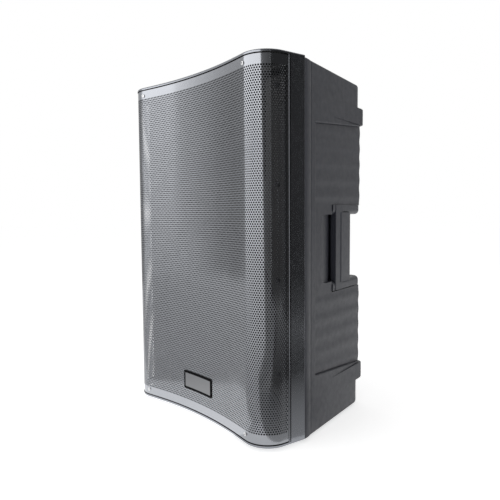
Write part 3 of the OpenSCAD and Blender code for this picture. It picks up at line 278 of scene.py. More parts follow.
def grained(
    name, colour, spread, rough, rough_spread, grain, depth, metallic=0.0, coat=0.0, cells=False, shine=0.5
):
    """Plastic, paint or cast metal: spreads are shares, and the depth of the grain is in millimetres."""
    m, t, shader, where = new_finish(name, metallic)
    shader.inputs["Coat Weight"].default_value = coat
    shader.inputs["Coat Roughness"].default_value = rough / 2
    shader.inputs["Specular IOR Level"].default_value = shine
    tone = noise(t, TONE_SCALE, 6.0)
    mix = two_tone(t, lighter(colour, 1 - spread), lighter(colour, 1 + spread))
    wear = noise(t, WEAR_SCALE, 4.0)
    span = t.nodes.new("ShaderNodeMapRange")
    span.inputs["From Min"].default_value, span.inputs["From Max"].default_value = 0.3, 0.7
    set_range(span, rough - rough_spread, rough + rough_spread)
    if cells:
        fine = t.nodes.new("ShaderNodeTexVoronoi")
        fine.inputs["Scale"].default_value = grain
        fine_out = fine.outputs["Distance"]
    else:
        fine = noise(t, grain, 3.0)
        fine_out = fine.outputs["Fac"]
    bump = relief(t, 0.5, depth)
    link_all(
        t,
        (where, tone.inputs["Vector"]),
        (where, wear.inputs["Vector"]),
        (where, fine.inputs["Vector"]),
        (tone.outputs["Fac"], mix.inputs["Factor"]),
        (mix.outputs["Result"], shader.inputs["Base Color"]),
        (wear.outputs["Fac"], span.inputs["Value"]),
        (span.outputs["Result"], shader.inputs["Roughness"]),
        (fine_out, bump.inputs["Height"]),
        (bump.outputs["Normal"], shader.inputs["Normal"]),
    )
    return m


def banded(name, colour, other, scale, rough, depth, metallic=0.0, along=None):
    """Bands for windings, or a weave of two crossing bands for cloth."""
    m, t, shader, where = new_finish(name, metallic)
    waves = []
    for axis in (along,) if along else ("X", "Z"):
        wave = t.nodes.new("ShaderNodeTexWave")
        wave.bands_direction = axis
        wave.inputs["Scale"].default_value = scale / 6.28
        wave.inputs["Distortion"].default_value = 0.4
        t.links.new(where, wave.inputs["Vector"])
        waves.append(wave.outputs["Fac"])
    height = waves[0]
    if len(waves) > 1:
        weave = t.nodes.new("ShaderNodeMath")
        weave.operation = "MULTIPLY"
        link_all(t, (waves[0], weave.inputs[0]), (waves[1], weave.inputs[1]))
        height = weave.outputs[0]
    mix = two_tone(t, other, colour)
    span = t.nodes.new("ShaderNodeMapRange")
    set_range(span, rough + 0.08, rough - 0.08)
    bump = relief(t, 0.6, depth)
    link_all(
        t,
        (height, mix.inputs["Factor"]),
        (mix.outputs["Result"], shader.inputs["Base Color"]),
        (height, span.inputs["Value"]),
        (span.outputs["Result"], shader.inputs["Roughness"]),
        (height, bump.inputs["Height"]),
        (bump.outputs["Normal"], shader.inputs["Normal"]),
    )
    return m


def brushed(name, colour, rough, lines):
    """Metal with fine lines along X."""
    m, t, shader, where = new_finish(name, 1.0)
    stretch = t.nodes.new("ShaderNodeMapping")
    stretch.inputs["Scale"].default_value = (lines * 0.01, lines * 0.01, lines)
    fine = noise(t, 1.0, 5.0)
    mix = two_tone(t, lighter(colour, 0.82), lighter(colour, 1.1))
    span = t.nodes.new("ShaderNodeMapRange")
    set_range(span, rough - 0.1, rough + 0.1)
    link_all(
        t,
        (where, stretch.inputs["Vector"]),
        (stretch.outputs["Vector"], fine.inputs["Vector"]),
        (fine.outputs["Fac"], mix.inputs["Factor"]),
        (mix.outputs["Result"], shader.inputs["Base Color"]),
        (fine.outputs["Fac"], span.inputs["Value"]),
        (span.outputs["Result"], shader.inputs["Roughness"]),
    )
    return m


# %% Finishes of the outside
shell_plastic = grained("shell_plastic", (0.029, 0.0312, 0.043), 0.12, 0.46, 0.05, 950.0, 0.12, cells=True)
front_plastic = grained("front_plastic", (0.013, 0.0135, 0.015), 0.10, 0.18, 0.03, 1200.0, 0.006)
grip_plastic = grained("grip_plastic", (0.033, 0.0355, 0.048), 0.10, 0.42, 0.05, 1100.0, 0.10, cells=True)
grille_paint = grained("grille_paint", (0.313, 0.323, 0.345), 0.05, 0.13, 0.02, 1500.0, 0.004, metallic=1.0)
black_rubber = grained("black_rubber", (0.018, 0.018, 0.018), 0.15, 0.75, 0.08, 700.0, 0.15)
black_plastic = grained("black_plastic", (0.020, 0.020, 0.022), 0.12, 0.50, 0.06, 1000.0, 0.10, cells=True)
zinc_steel = grained("zinc_steel", (0.62, 0.62, 0.63), 0.10, 0.30, 0.08, 600.0, 0.03, metallic=1.0)
badge_black = grained("badge_black", (0.003, 0.003, 0.0035), 0.10, 0.75, 0.04, 900.0, 0.02, shine=0.05)
brushed_silver = brushed("brushed_silver", (0.18, 0.183, 0.19), 0.34, 2600.0)
print("finishes so far:", len(bpy.data.materials))

# %% [markdown]
# The cabinet's plan is drawn once and used by the shells, the grille and the badge. Seen from above,
# the front is a wave: a wide hollow in the middle, two straight flanks, two round shoulders and a
# flat band back to the parting line. The rear tapers inwards to two rounded corners. The function
# takes an inset, so that a sheet below the surface follows the same wave.

# %% Plan of the cabinet
shell_lo, shell_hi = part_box("front_shell")
rear_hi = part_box("rear_shell")[1]
SIDE_OUT, PART_IN, REAR_IN, LIP_T = 1.4, 3.7, 8.0, 6.0
HALF_W = shell_hi.x / MM + SIDE_OUT
NOSE_Y = shell_lo.y / MM
PART_Y = shell_hi.y / MM - PART_IN
REAR_Y = rear_hi.y / MM - REAR_IN
BASE_Z, TOP_Z = shell_lo.z / MM, shell_hi.z / MM
FLOOR_Z, CEIL_Z = BASE_Z + LIP_T, TOP_Z - LIP_T
SHOULDER_R, DISH_R = 48.0, 789.6
WAVE, BAND, TAPER = math.radians(9.84), math.radians(84.0), math.radians(13.4)
FRONT_D = PART_Y - NOSE_Y
BAND_L = (FRONT_D - SHOULDER_R + SHOULDER_R * math.cos(BAND)) / math.sin(BAND)
SHOULDER_X = HALF_W - SHOULDER_R * math.sin(BAND) - BAND_L * math.cos(BAND)
SHOULDER_Y = NOSE_Y + SHOULDER_R
FLANK_L = (SHOULDER_X - (DISH_R + SHOULDER_R) * math.sin(WAVE)) / math.cos(WAVE)
DISH_Y = (
    SHOULDER_Y + DISH_R * (1 - math.cos(WAVE)) + FLANK_L * math.sin(WAVE) - SHOULDER_R * math.cos(WAVE)
)


def band_x(y, inset=0.0):
    return HALF_W - (PART_Y - y) / math.tan(BAND) - inset / math.sin(BAND)


def side_x(y, inset=0.0):
    return HALF_W - (y - PART_Y) * math.tan(TAPER) - inset / math.cos(TAPER)


def wave_half(inset, end_y, arc_steps=28, dish_steps=16):
    """Right half of the front's wave, from the middle of the hollow to the side at end_y."""
    r, dish = SHOULDER_R - inset, DISH_R + inset
    points = [
        (dish * math.sin(a), DISH_Y - DISH_R + dish * math.cos(a))
        for a in np.linspace(0.0, WAVE, dish_steps + 1)
    ]
    for a in np.linspace(-WAVE, BAND, arc_steps + 1):
        points.append((SHOULDER_X + r * math.sin(a), SHOULDER_Y - r * math.cos(a)))
    points.append((band_x(end_y, inset), end_y))
    return points


def mirrored(points):
    return [(-x, y) for x, y in reversed(points) if abs(x) > 1e-6]


print("plan: half width", round(HALF_W, 1), "nose", round(NOSE_Y, 1), "hollow", round(DISH_Y, 1))

# %% [markdown]
# Most mouldings here start in the same way: a circle of vertices is dragged onto an outline, filled
# and extruded upwards, as one would draw a profile and pull it up by hand. Small helpers do that,
# round chosen edges with the bevel operator, cut one block with another and dress the result. NEAR
# is the distance in millimetres within which two places count as the same.

# %% Helpers for modelling
NEAR = 0.01


def to_object_mode():
    if bpy.context.object and bpy.context.object.mode != "OBJECT":
        bpy.ops.object.mode_set(mode="OBJECT")
    bpy.ops.object.select_all(action="DESELECT")


def pick_only(piece):
    to_object_mode()
    piece.select_set(True)
    bpy.context.view_layer.objects.active = piece


def face_outwards():
    """Turns the active piece's normals outwards."""
    bpy.ops.object.mode_set(mode="EDIT")
    bpy.ops.mesh.select_all(action="SELECT")
    bpy.ops.mesh.normals_make_consistent(inside=False)
    bpy.ops.object.mode_set(mode="OBJECT")


def pull(offset):
    """Extrudes the whole active sheet by an offset in millimetres, which makes a block of it."""
    bpy.ops.object.mode_set(mode="EDIT")
    bpy.ops.mesh.select_all(action="SELECT")
    bpy.ops.mesh.extrude_region_move(TRANSFORM_OT_translate={"value": [c * MM for c in offset]})
    face_outwards()


def outline_slab(name, points, z0, z1):
    to_object_mode()
    bpy.ops.mesh.primitive_circle_add(vertices=len(points), radius=1.0, fill_type="NGON")
    piece = bpy.context.object
    piece.name = piece.data.name = name
    for vertex, (x, y) in zip(piece.data.vertices, points):
        vertex.co = (x * MM, y * MM, z0 * MM)
    pull((0, 0, z1 - z0))
    return piece


def select_nothing():
    bpy.ops.object.mode_set(mode="EDIT")
    bpy.ops.mesh.select_all(action="DESELECT")
    bpy.ops.object.mode_set(mode="OBJECT")


def round_edges(piece, chosen, width, segments=4):
    """Bevels the edges for which chosen(a, b), given both ends in millimetres, is true."""
    pick_only(piece)
    bpy.context.tool_settings.mesh_select_mode = (False, True, False)
    select_nothing()
    ends = [v.co / MM for v in piece.data.vertices]
    for edge in piece.data.edges:
        edge.select = bool(chosen(ends[edge.vertices[0]], ends[edge.vertices[1]]))
    bpy.ops.object.mode_set(mode="EDIT")
    bpy.ops.mesh.bevel(offset=width * MM, segments=segments, profile=0.5, affect="EDGES")
    bpy.ops.object.mode_set(mode="OBJECT")


def combine(piece, other, how):
    pick_only(piece)
    step = piece.modifiers.new("combine", "BOOLEAN")
    step.operation = how
    step.solver = "EXACT"
    step.object = other
    bpy.ops.object.modifier_apply(modifier=step.name)
    bpy.data.objects.remove(other)


def smooth(piece, degrees=32.0):
    """Smooth shading up to an angle; weighted normals keep the large faces flat next to rounded edges."""
    pick_only(piece)
    bpy.ops.object.shade_smooth_by_angle(angle=math.radians(degrees))
    level = piece.modifiers.new("flat_faces", "WEIGHTED_NORMAL")
    level.keep_sharp = True
    bpy.ops.object.modifier_apply(modifier=level.name)


def dress(piece, material, body, slot, *replaced):
    """Gives a finished piece its material, its body and the CAD nodes that it stands for."""
    piece.data.materials.clear()
    piece.data.materials.append(material)
    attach(piece, body)
    if replaced:
        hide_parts(*replaced)
    print(piece.name, "faces:", len(piece.data.polygons))


def box_points(x0, x1, y0, y1):
    return [(x0, y0), (x1, y0), (x1, y1), (x0, y1)]


def on_side(points, side):
    """A plan drawn for the right side, taken to the left if side is -1."""
    return [(side * x, y) for x, y in points]


def is_level(a, b):
    return abs(a.z - b.z) < NEAR


# %% [markdown]
# The front shell is one moulding: two lips that follow the wave, the side bands and the baffle behind
# the grille. It starts as the whole wave pulled up to full height, with its top and bottom edges
# rounded. Then the space for the grille and the hollow behind the baffle are cut out, and the
# openings for the woofer, the horn and the two ports.

# %% Front shell: measures and paint
BAFFLE_Y, BACK_Y, SEAM_Y = NOSE_Y + 48.0, NOSE_Y + 60.0, NOSE_Y + 56.0
LIP_GAP, SEAM_RIB, SEAM_GROOVE, GROOVE_D = 0.8, 2.2, 1.6, 1.8
PAINT_GREY, PAINT_FROM = (0.27, 0.28, 0.303, 1.0), LIP_GAP + 0.15
woofer_lo, woofer_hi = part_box("woofer_frame")
horn_lo, horn_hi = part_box("horn_flare")
port_lo, port_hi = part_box("port_tube_right")
WOOFER_Z = (woofer_lo.z + woofer_hi.z) / 2 / MM
HORN_Z = (horn_lo.z + horn_hi.z) / 2 / MM
PORT_X, PORT_Z = (port_lo.x + port_hi.x) / 2 / MM, (port_lo.z + port_hi.z) / 2 / MM
print("woofer at", round(WOOFER_Z), "horn at", round(HORN_Z), "ports at", round(PORT_X), round(PORT_Z))


def paint_outside(material):
    """Turns the finish into grey paint on the lips and the side bands, and leaves the baffle plain."""
    t = material.node_tree
    shader = t.nodes["Principled BSDF"]
    below = shader.inputs["Base Color"].links[0].from_socket
    split = t.nodes.new("ShaderNodeSeparateXYZ")
    t.links.new(t.nodes.new("ShaderNodeTexCoord").outputs["Object"], split.inputs["Vector"])

    def step(how, first, second):
        node = t.nodes.new("ShaderNodeMath")
        node.operation = how
        for socket, value in zip(node.inputs, (first, second)):
            if isinstance(value, float):
                socket.default_value = value
            else:
                t.links.new(value, socket)
        return node.outputs[0]

    middle, half = (FLOOR_Z + CEIL_Z) / 2 * MM, (CEIL_Z - FLOOR_Z) / 2 * MM
    away = step("ABSOLUTE", step("SUBTRACT", split.outputs["Z"], middle), 0.0)
    lips = step("GREATER_THAN", away, half + PAINT_FROM * MM)
    bands = step("GREATER_THAN", step("ABSOLUTE", split.outputs["X"], 0.0), band_x(SEAM_Y, 1.5) * MM)
    painted = step("MAXIMUM", lips, bands)
    mix = t.nodes.new("ShaderNodeMix")
    mix.data_type = "RGBA"
    mix.inputs["B"].default_value = PAINT_GREY
    link_all(
        t,
        (painted, mix.inputs["Factor"]),
        (below, mix.inputs["A"]),
        (mix.outputs["Result"], shader.inputs["Base Color"]),
        (painted, shader.inputs["Metallic"]),
    )


# %% Front shell: outer form
RIM_R, PARTING_R, LONG = 3.2, 0.8, 100.0
right_wave = wave_half(0.0, PART_Y)
front_shell = outline_slab("front_moulding", mirrored(right_wave) + right_wave, BASE_Z, TOP_Z)


def at_parting(a, b):
    return a.y > PART_Y - NEAR and b.y > PART_Y - NEAR


def rim(a, b):
    return is_level(a, b) and (a.z < BASE_Z + NEAR or a.z > TOP_Z - NEAR) and not at_parting(a, b)


def parting_edge(a, b):
    return at_parting(a, b) and abs(a.x - b.x) < NEAR and abs(a.z - b.z) > LONG


round_edges(front_shell, rim, RIM_R, 4)
round_edges(front_shell, parting_edge, PARTING_R, 2)
print("outer form:", len(front_shell.data.polygons), "faces")

# %% Front shell: space for the grille and the seam beside it
SHEET_BACK, SHELL_WALL, RIB_R = 2.5, 6.0, 0.9
PAST_X, PAST_Y = 300.0, -260.0
space_plan = [
    (PAST_X, PAST_Y), (PAST_X, SEAM_Y), (band_x(SEAM_Y, SHEET_BACK), SEAM_Y),
    (band_x(BAFFLE_Y, SHEET_BACK), BAFFLE_Y),
]
grille_space = outline_slab(
    "grille_space", space_plan + mirrored(space_plan), FLOOR_Z - LIP_GAP, CEIL_Z + LIP_GAP
)
combine(front_shell, grille_space, "DIFFERENCE")
rib_x, rib_y = band_x(SEAM_Y) - GROOVE_D, SEAM_Y + SEAM_RIB
groove_plan = box_points(rib_x, rib_x + 9, rib_y, rib_y + SEAM_GROOVE)
for side in (-1, 1):
    groove = outline_slab("groove", on_side(groove_plan, side), FLOOR_Z - LIP_GAP, CEIL_Z + LIP_GAP)
    combine(front_shell, groove, "DIFFERENCE")


def seam_edge(a, b):
    outer = min(abs(a.x), abs(b.x)) > band_x(SEAM_Y) - 0.1
    on_rib = min(abs(a.y - SEAM_Y), abs(a.y - SEAM_Y - SEAM_RIB)) < 0.05 and abs(a.y - b.y) < 0.05
    return outer and on_rib and abs(a.z - b.z) > LONG


round_edges(front_shell, seam_edge, RIB_R, 3)
inner = [(band_x(BACK_Y, SHELL_WALL), BACK_Y), (band_x(PART_Y, SHELL_WALL), PART_Y + 10)]
combine(front_shell, outline_slab("front_hollow", inner + mirrored(inner), FLOOR_Z, CEIL_Z), "DIFFERENCE")
print("with space and seam:", len(front_shell.data.polygons), "faces")

# %% Front shell: openings
WOOFER_R, PORT_R, HORN_HALF_W, HORN_HALF_H = 177.0, 33.3, 157.3, 82.3
DRILL_Y0, DRILL_Y1 = BAFFLE_Y - 9, BACK_Y + 9


def drill(name, x, z, radius, sides=64):
    """A rod through the baffle, to cut a round opening with."""
    to_object_mode()
    bpy.ops.mesh.primitive_cylinder_add(
        vertices=sides, radius=radius * MM, depth=(DRILL_Y1 - DRILL_Y0) * MM,
        location=(x * MM, (DRILL_Y0 + DRILL_Y1) / 2 * MM, z * MM), rotation=(math.radians(90), 0, 0),
    )
    rod = bpy.context.object
    rod.name = name
    bpy.ops.object.transform_apply(location=True, rotation=True, scale=True)
    return rod


combine(front_shell, drill("woofer_hole", 0, WOOFER_Z, WOOFER_R, 96), "DIFFERENCE")
for side in (-1, 1):
    combine(front_shell, drill("port_hole", side * PORT_X, PORT_Z, PORT_R), "DIFFERENCE")
horn_plan = box_points(-HORN_HALF_W, HORN_HALF_W, DRILL_Y0, DRILL_Y1)
horn_hole = outline_slab("horn_hole", horn_plan, HORN_Z - HORN_HALF_H, HORN_Z + HORN_HALF_H)
combine(front_shell, horn_hole, "DIFFERENCE")
smooth(front_shell)
paint_outside(front_plastic)
dress(front_shell, front_plastic, "cabinet", "shell_plastic", "front_shell")

# %% [markdown]
# The rear shell is the other half of the case. It starts as the tapered plan pulled up to full height
# and rounded along its top and bottom edges. A narrow bead runs along the parting line. The sunken
# side panels are cut with a block whose inner face is a wavy grid, so the shallow ribs come out of
# the cut by themselves, as they would from a mould.

# %% Rear shell: body and parting bead
CORNER_R, BODY_R = 14.0, 38.0
CORNER_Y = REAR_Y - CORNER_R
CORNER_X = side_x(CORNER_Y, CORNER_R)
STEP_DOWN, SLOPE_DOWN = 3.6, 5.3
BEAD_W, BEAD_T, REAR_RIM_R = 21.0, 1.3, 4.0


def rear_half(inset, corner=BODY_R, bead=0.0):
    """Right half of the rear's plan, with a soft bead along the parting line if one is asked for."""
    r, middle_y = corner - inset, REAR_Y - corner
    points = [(side_x(PART_Y, inset), PART_Y)]
    if bead:
        for t in np.linspace(0.0, 1.0, 11)[1:]:
            y = PART_Y + t * BEAD_W
            points.append((side_x(y) + bead * math.sin(math.pi * t) ** 0.7, y))
        points += [(side_x(y + 0.8, 0.7), y + 0.8), (side_x(y + 2.4), y + 2.4)]
    for a in np.linspace(TAPER, math.radians(90), 13):
        points.append((side_x(middle_y, corner) + r * math.cos(a), middle_y + r * math.sin(a)))
    return points


def roof_z(y):
    return TOP_Z - STEP_DOWN - SLOPE_DOWN * (y - PART_Y) / (REAR_Y - PART_Y)


right_rear = rear_half(0.0, bead=BEAD_T)
rear_shell = outline_slab("rear_moulding", right_rear + mirrored(right_rear), BASE_Z, TOP_Z)
for v in rear_shell.data.vertices:
    if v.co.z > (TOP_Z - 1) * MM:
        v.co.z = roof_z(v.co.y / MM) * MM


def rear_rim(a, b):
    outer = max(a.z, b.z) < BASE_Z + NEAR or min(a.z, b.z) > TOP_Z - 12
    return outer and not (a.y < PART_Y + NEAR and b.y < PART_Y + NEAR)


round_edges(rear_shell, rear_rim, REAR_RIM_R, 4)
print("rear shell starts with", len(rear_shell.data.polygons), "faces")

# %% Sunken side panels with ribs
PANEL_Y0, PANEL_Z0, PANEL_Z1 = PART_Y + 33.4, BASE_Z + 103.0, TOP_Z - 104.0
DROP, RISE, EDGE_R, PANEL_IN = 15.0, 13.0, 2.6, 8.0
PANEL_SINK, RIB_T, RIB_PITCH, RIB_N, FAN, FAN_STEP = 4.6, 2.0, 31.0, 5, 3.6, 0.6
PAST_REAR, PAST_SIDE = 20.0, 30.0


def rib_height(y, z):
    """Height of the ribs above the panel's floor: each is a soft wave, and they fan out to the rear."""
    run = y - PANEL_Y0
    height = 0.0
    for i in range(RIB_N):
        fan = run * math.tan(math.radians(FAN - FAN_STEP * i))
        low, high = PANEL_Z0 + (i + 0.5) * RIB_PITCH - fan, PANEL_Z1 - (i + 0.5) * RIB_PITCH + fan
        for centre in (low, high):
            away = abs(z - centre) / RIB_PITCH
            if away < 0.5:
                height = max(height, RIB_T * 0.5 * (1 + math.cos(2 * math.pi * away)))
    return height


def grid_block(name, side, rows, columns):
    """A block whose inner face is the ribbed floor of one side panel."""
    to_object_mode()
    bpy.ops.mesh.primitive_grid_add(x_subdivisions=columns, y_subdivisions=rows, size=2.0)
    block = bpy.context.object
    block.name = block.data.name = name
    y0, y1 = PANEL_Y0 - 8.0, REAR_Y + PAST_REAR
    z0, z1 = PANEL_Z0 - 30.0, PANEL_Z1 + 46.0
    for v in block.data.vertices:
        y = y0 + (v.co.x + 1) / 2 * (y1 - y0)
        z = z0 + (v.co.y + 1) / 2 * (z1 - z0)
        x = side_x(y, PANEL_SINK - rib_height(max(y, PANEL_Y0), z))
        v.co = (side * x * MM, y * MM, z * MM)
    pull((side * 90, 0, 0))
    return block


def side_prism(name, points, x0, x1):
    """An outline of (y, z) points pulled along X."""
    prism = outline_slab(name, points, x0, x1)
    prism.data.transform(Matrix(((0, 0, 1, 0), (1, 0, 0, 0), (0, 1, 0, 0), (0, 0, 0, 1))))
    return prism


def set_in(points, inset, steps=5):
    """Sets each corner that has an inset that far in from both its sides, and rounds it by 1 mm."""
    made = []
    for i, (x, y) in enumerate(points):
        if not inset[i]:
            made.append((x, y))
            continue
        corner = Vector((x, y))
        a = (Vector(points[i - 1]) - corner).normalized()
        b = (Vector(points[(i + 1) % len(points)]) - corner).normalized()
        half = a.angle(b) / 2
        back = inset[i] / math.tan(half)
        middle = corner + (a + b).normalized() * (inset[i] / math.sin(half))
        start, end = corner + a * back - middle, corner + b * back - middle
        for k in range(steps + 1):
            made.append(tuple(middle + start.slerp(end, k / steps)))
    return made


panel_edge = set_in(
    [
        (PANEL_Y0, PANEL_Z0), (REAR_Y + 12, PANEL_Z0 - DROP * 1.06),
        (REAR_Y + 12, PANEL_Z1 + RISE * 1.06), (PANEL_Y0, PANEL_Z1),
    ],
    [PANEL_IN, 0, 0, PANEL_IN],
)


def widened(points, by):
    """The same outline, moved outwards by a distance."""
    made = []
    for i, point in enumerate(points):
        here = Vector(point)
        a = (here - Vector(points[i - 1])).normalized()
        b = (Vector(points[(i + 1) % len(points)]) - here).normalized()
        out = (Vector((a.y, -a.x)) + Vector((b.y, -b.x))).normalized()
        made.append(tuple(here + out * by))
    return made


def flared_cutter(name, points, side):
    """A cutter that widens towards the surface, so that the border of the cut comes out rounded."""
    turns = np.linspace(0.0, math.radians(90), 5)
    rings = [(EDGE_R * (0.98 - math.cos(a)), EDGE_R * (1 - math.sin(a))) for a in turns]
    rings.append((EDGE_R, -20.0))
    piece = outline_slab(name, points, 0.0, 1.0)
    for k in range(len(rings) - 2):
        select_nothing()
        for face in piece.data.polygons:
            face.select = face.normal.z > 0.9 and face.center.z > (k + 0.9) * MM
        bpy.context.tool_settings.mesh_select_mode = (False, False, True)
        bpy.ops.object.mode_set(mode="EDIT")
        bpy.ops.mesh.extrude_region_move(TRANSFORM_OT_translate={"value": (0, 0, MM)})
        bpy.ops.object.mode_set(mode="OBJECT")
    places = {(round(y, 3), round(z, 3)): i for i, (y, z) in enumerate(points)}
    wide = [widened(points, outset) for outset, _ in rings]
    for v in piece.data.vertices:
        ring = round(v.co.z / MM)
        y, z = wide[ring][places[(round(v.co.x / MM, 3), round(v.co.y / MM, 3))]]
        v.co = (side * side_x(y, rings[ring][1]) * MM, y * MM, z * MM)
    face_outwards()
    return piece


print("side panels:", round(PANEL_Z1 - PANEL_Z0), "mm high with", 2 * RIB_N, "ribs")

# %% Corner posts and bumpers
POST_Y, POST_IN, POST_PAST = 40.0, 0.2, 18.0
BUMPER_T, BUMPER_H, BUMPER_L, BUMPER_R, WRAP_L, ROOT = 5.5, 34.0, 140.0, 1.8, 44.0, 8.0
post_plan = [(side_x(POST_Y, POST_IN), POST_Y), *rear_half(POST_IN, CORNER_R)[1:]]
posts = outline_slab(
    "corner_posts", post_plan + mirrored(post_plan),
    PANEL_Z0 - DROP - POST_PAST, PANEL_Z1 + RISE + POST_PAST,
)
combine(rear_shell, posts, "UNION")
OUT_X = side_x(REAR_Y) + BUMPER_T
bumper_y = REAR_Y + BUMPER_T - CORNER_R
bumper_plan = [
    (side_x(REAR_Y - BUMPER_L, ROOT), REAR_Y - BUMPER_L), (side_x(REAR_Y - BUMPER_L), REAR_Y - BUMPER_L),
    (OUT_X, bumper_y),
    *[
        (OUT_X - CORNER_R + CORNER_R * math.cos(a), bumper_y + CORNER_R * math.sin(a))
        for a in np.linspace(0, math.radians(90), 8)[1:]
    ],
    (OUT_X - WRAP_L, REAR_Y + BUMPER_T), (OUT_X - WRAP_L, REAR_Y - ROOT),
    (side_x(REAR_Y - ROOT, ROOT), REAR_Y - ROOT),
]


def bumper_edge(a, b):
    outer = max(abs(a.x), abs(b.x)) > OUT_X - WRAP_L - 2
    return is_level(a, b) and outer and min(a.y, b.y) > REAR_Y - BUMPER_L + 1


for side in (-1, 1):
    for z in (PANEL_Z0 - DROP - 1 - BUMPER_H, PANEL_Z1 + RISE + 1):
        band = outline_slab("bumper", on_side(bumper_plan, side), z, z + BUMPER_H)
        round_edges(band, bumper_edge, BUMPER_R, 3)
        combine(rear_shell, band, "UNION")
print("with bumpers:", len(rear_shell.data.polygons), "faces")

# %% Cutting the side panels
for side in (-1, 1):
    combine(rear_shell, flared_cutter("side_border", panel_edge, side), "DIFFERENCE")
for side in (-1, 1):
    ribbed = grid_block("side_cut", side, 150, 26)
    zone = side_prism("side_zone", panel_edge, side * 100.0, side * 260.0)
    combine(ribbed, zone, "INTERSECT")
    combine(rear_shell, ribbed, "DIFFERENCE")
print("after the side panels:", len(rear_shell.data.polygons), "faces")

# %% [markdown]
# Each handle pocket is a scoop that leads the fingers behind the grip bar. Its floor curves in from
# the side and then drops behind the bar. The long edges of the cutter are rounded first, so the
# pocket gets soft ends. Two seats, open to the outside, take the end blocks of the grip. The hollow
# inside keeps a wall around the pockets and around the well of the amplifier.

# %% Plans of the handle
HANDLE_Z, GRIP_GAP, GRIP_END = (BASE_Z + TOP_Z) / 2, 133.0, 19.0
POCKET_Z0, POCKET_Z1 = HANDLE_Z - GRIP_GAP / 2, HANDLE_Z + GRIP_GAP / 2
SCOOP_Y, SLOT_Y, GRIP_Y = PART_Y + 54.4, PART_Y + 115.4, PART_Y + 140.4
POCKET_X, POCKET_R, SCOOP_D, CORE_WALL = side_x(GRIP_Y) - 73.0, 3.5, 15.0, 4.0
STRIP_W, TAB_W, TAB_T, BLOCK_IN = 15.0, 16.0, 12.0, 36.0
TAB_X, BLOCK_SINK = side_x(REAR_Y) - BLOCK_IN, 3.0
SEAT_GAP, SEAT_OUT, UNDER_GAP, OVER_GAP = 0.8, 15.0, 2.2, 0.3
scoop = [
    (side_x(SCOOP_Y + t * (SLOT_Y - SCOOP_Y)) - SCOOP_D * t, SCOOP_Y + t * (SLOT_Y - SCOOP_Y))
    for t in np.linspace(0, 1, 10)
]
pocket_plan = [
    (side_x(SCOOP_Y) + PAST_SIDE, SCOOP_Y), *scoop, (side_x(SLOT_Y) - 24, SLOT_Y - 3),
    (POCKET_X, SLOT_Y - 6), (POCKET_X, REAR_Y + PAST_REAR), (HALF_W + PAST_SIDE, REAR_Y + PAST_REAR),
]
core_plan = [
    (HALF_W, SCOOP_Y - CORE_WALL), (side_x(SCOOP_Y - CORE_WALL) - 26, SCOOP_Y + 6),
    (POCKET_X - CORE_WALL, SLOT_Y - 10), (POCKET_X - CORE_WALL, REAR_Y + 1), (HALF_W, REAR_Y + 1),
]


def seat_plan(gap, out):
    """Plan of a grip's end block; with a gap and a reach outwards, of the seat that is cut for it."""
    arc = [
        (CORNER_X - BLOCK_SINK + (CORNER_R + out) * math.cos(a), CORNER_Y + (CORNER_R + out) * math.sin(a))
        for a in np.linspace(TAPER, math.radians(90), 8)
    ]
    return [
        (TAB_X - gap, SLOT_Y - gap), (side_x(SLOT_Y - gap, -out) - BLOCK_SINK, SLOT_Y - gap), *arc,
        (TAB_X - TAB_W - gap, REAR_Y + out), (TAB_X - TAB_W - gap, REAR_Y - TAB_T - gap),
        (TAB_X - gap, REAR_Y - TAB_T - gap),
    ]


print("handle pocket from", round(POCKET_Z0), "to", round(POCKET_Z1), "mm")

# %% Hollow of the rear shell
REAR_WALL, ROOF_WALL, PARTING_GAP = 10.0, 6.0, 0.5
WALL_MARGIN, WELL_MARGIN, RIM_MARGIN = 7.0, 1.0, -10.0
well_lo, well_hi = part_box("amp_panel")
gasket_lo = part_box("panel_gasket")[0]
AMP_Y, SEAT_Y = well_hi.y / MM, gasket_lo.y / MM
amp_half_w, amp_z0, amp_z1 = well_hi.x / MM, well_lo.z / MM, well_hi.z / MM
CASE_TOP = roof_z(REAR_Y) - ROOF_WALL


def amp_block(name, margin, y0, y1):
    """A block at the amplifier panel, larger by a margin on each side, or smaller by a negative one."""
    corners = box_points(-amp_half_w - margin, amp_half_w + margin, y0, y1)
    return outline_slab(name, corners, amp_z0 - margin, amp_z1 + margin)


hollow = outline_slab("hollow", rear_half(REAR_WALL) + mirrored(rear_half(REAR_WALL)), FLOOR_Z, CASE_TOP)
hollow.data.transform(Matrix.Translation((0, -PARTING_GAP * MM, 0)))
for side in (-1, 1):
    core = outline_slab(
        "core", on_side(core_plan, side), POCKET_Z0 - GRIP_END - CORE_WALL, POCKET_Z1 + GRIP_END + CORE_WALL
    )
    combine(hollow, core, "DIFFERENCE")
combine(hollow, amp_block("well_wall", WALL_MARGIN, SEAT_Y - 6, REAR_Y + 9), "DIFFERENCE")
combine(rear_shell, hollow, "DIFFERENCE")
print("hollowed:", len(rear_shell.data.polygons), "faces")


# %% Handle pockets, seats and amplifier well
def scoop_edge(a, b):
    xs = sorted((abs(a.x), abs(b.x)))
    on_floor = side_x(SLOT_Y) - SCOOP_D - 0.1 < xs[0] and xs[1] < side_x(SCOOP_Y) + 1
    return is_level(a, b) and max(a.y, b.y) < SLOT_Y + 0.1 and on_floor


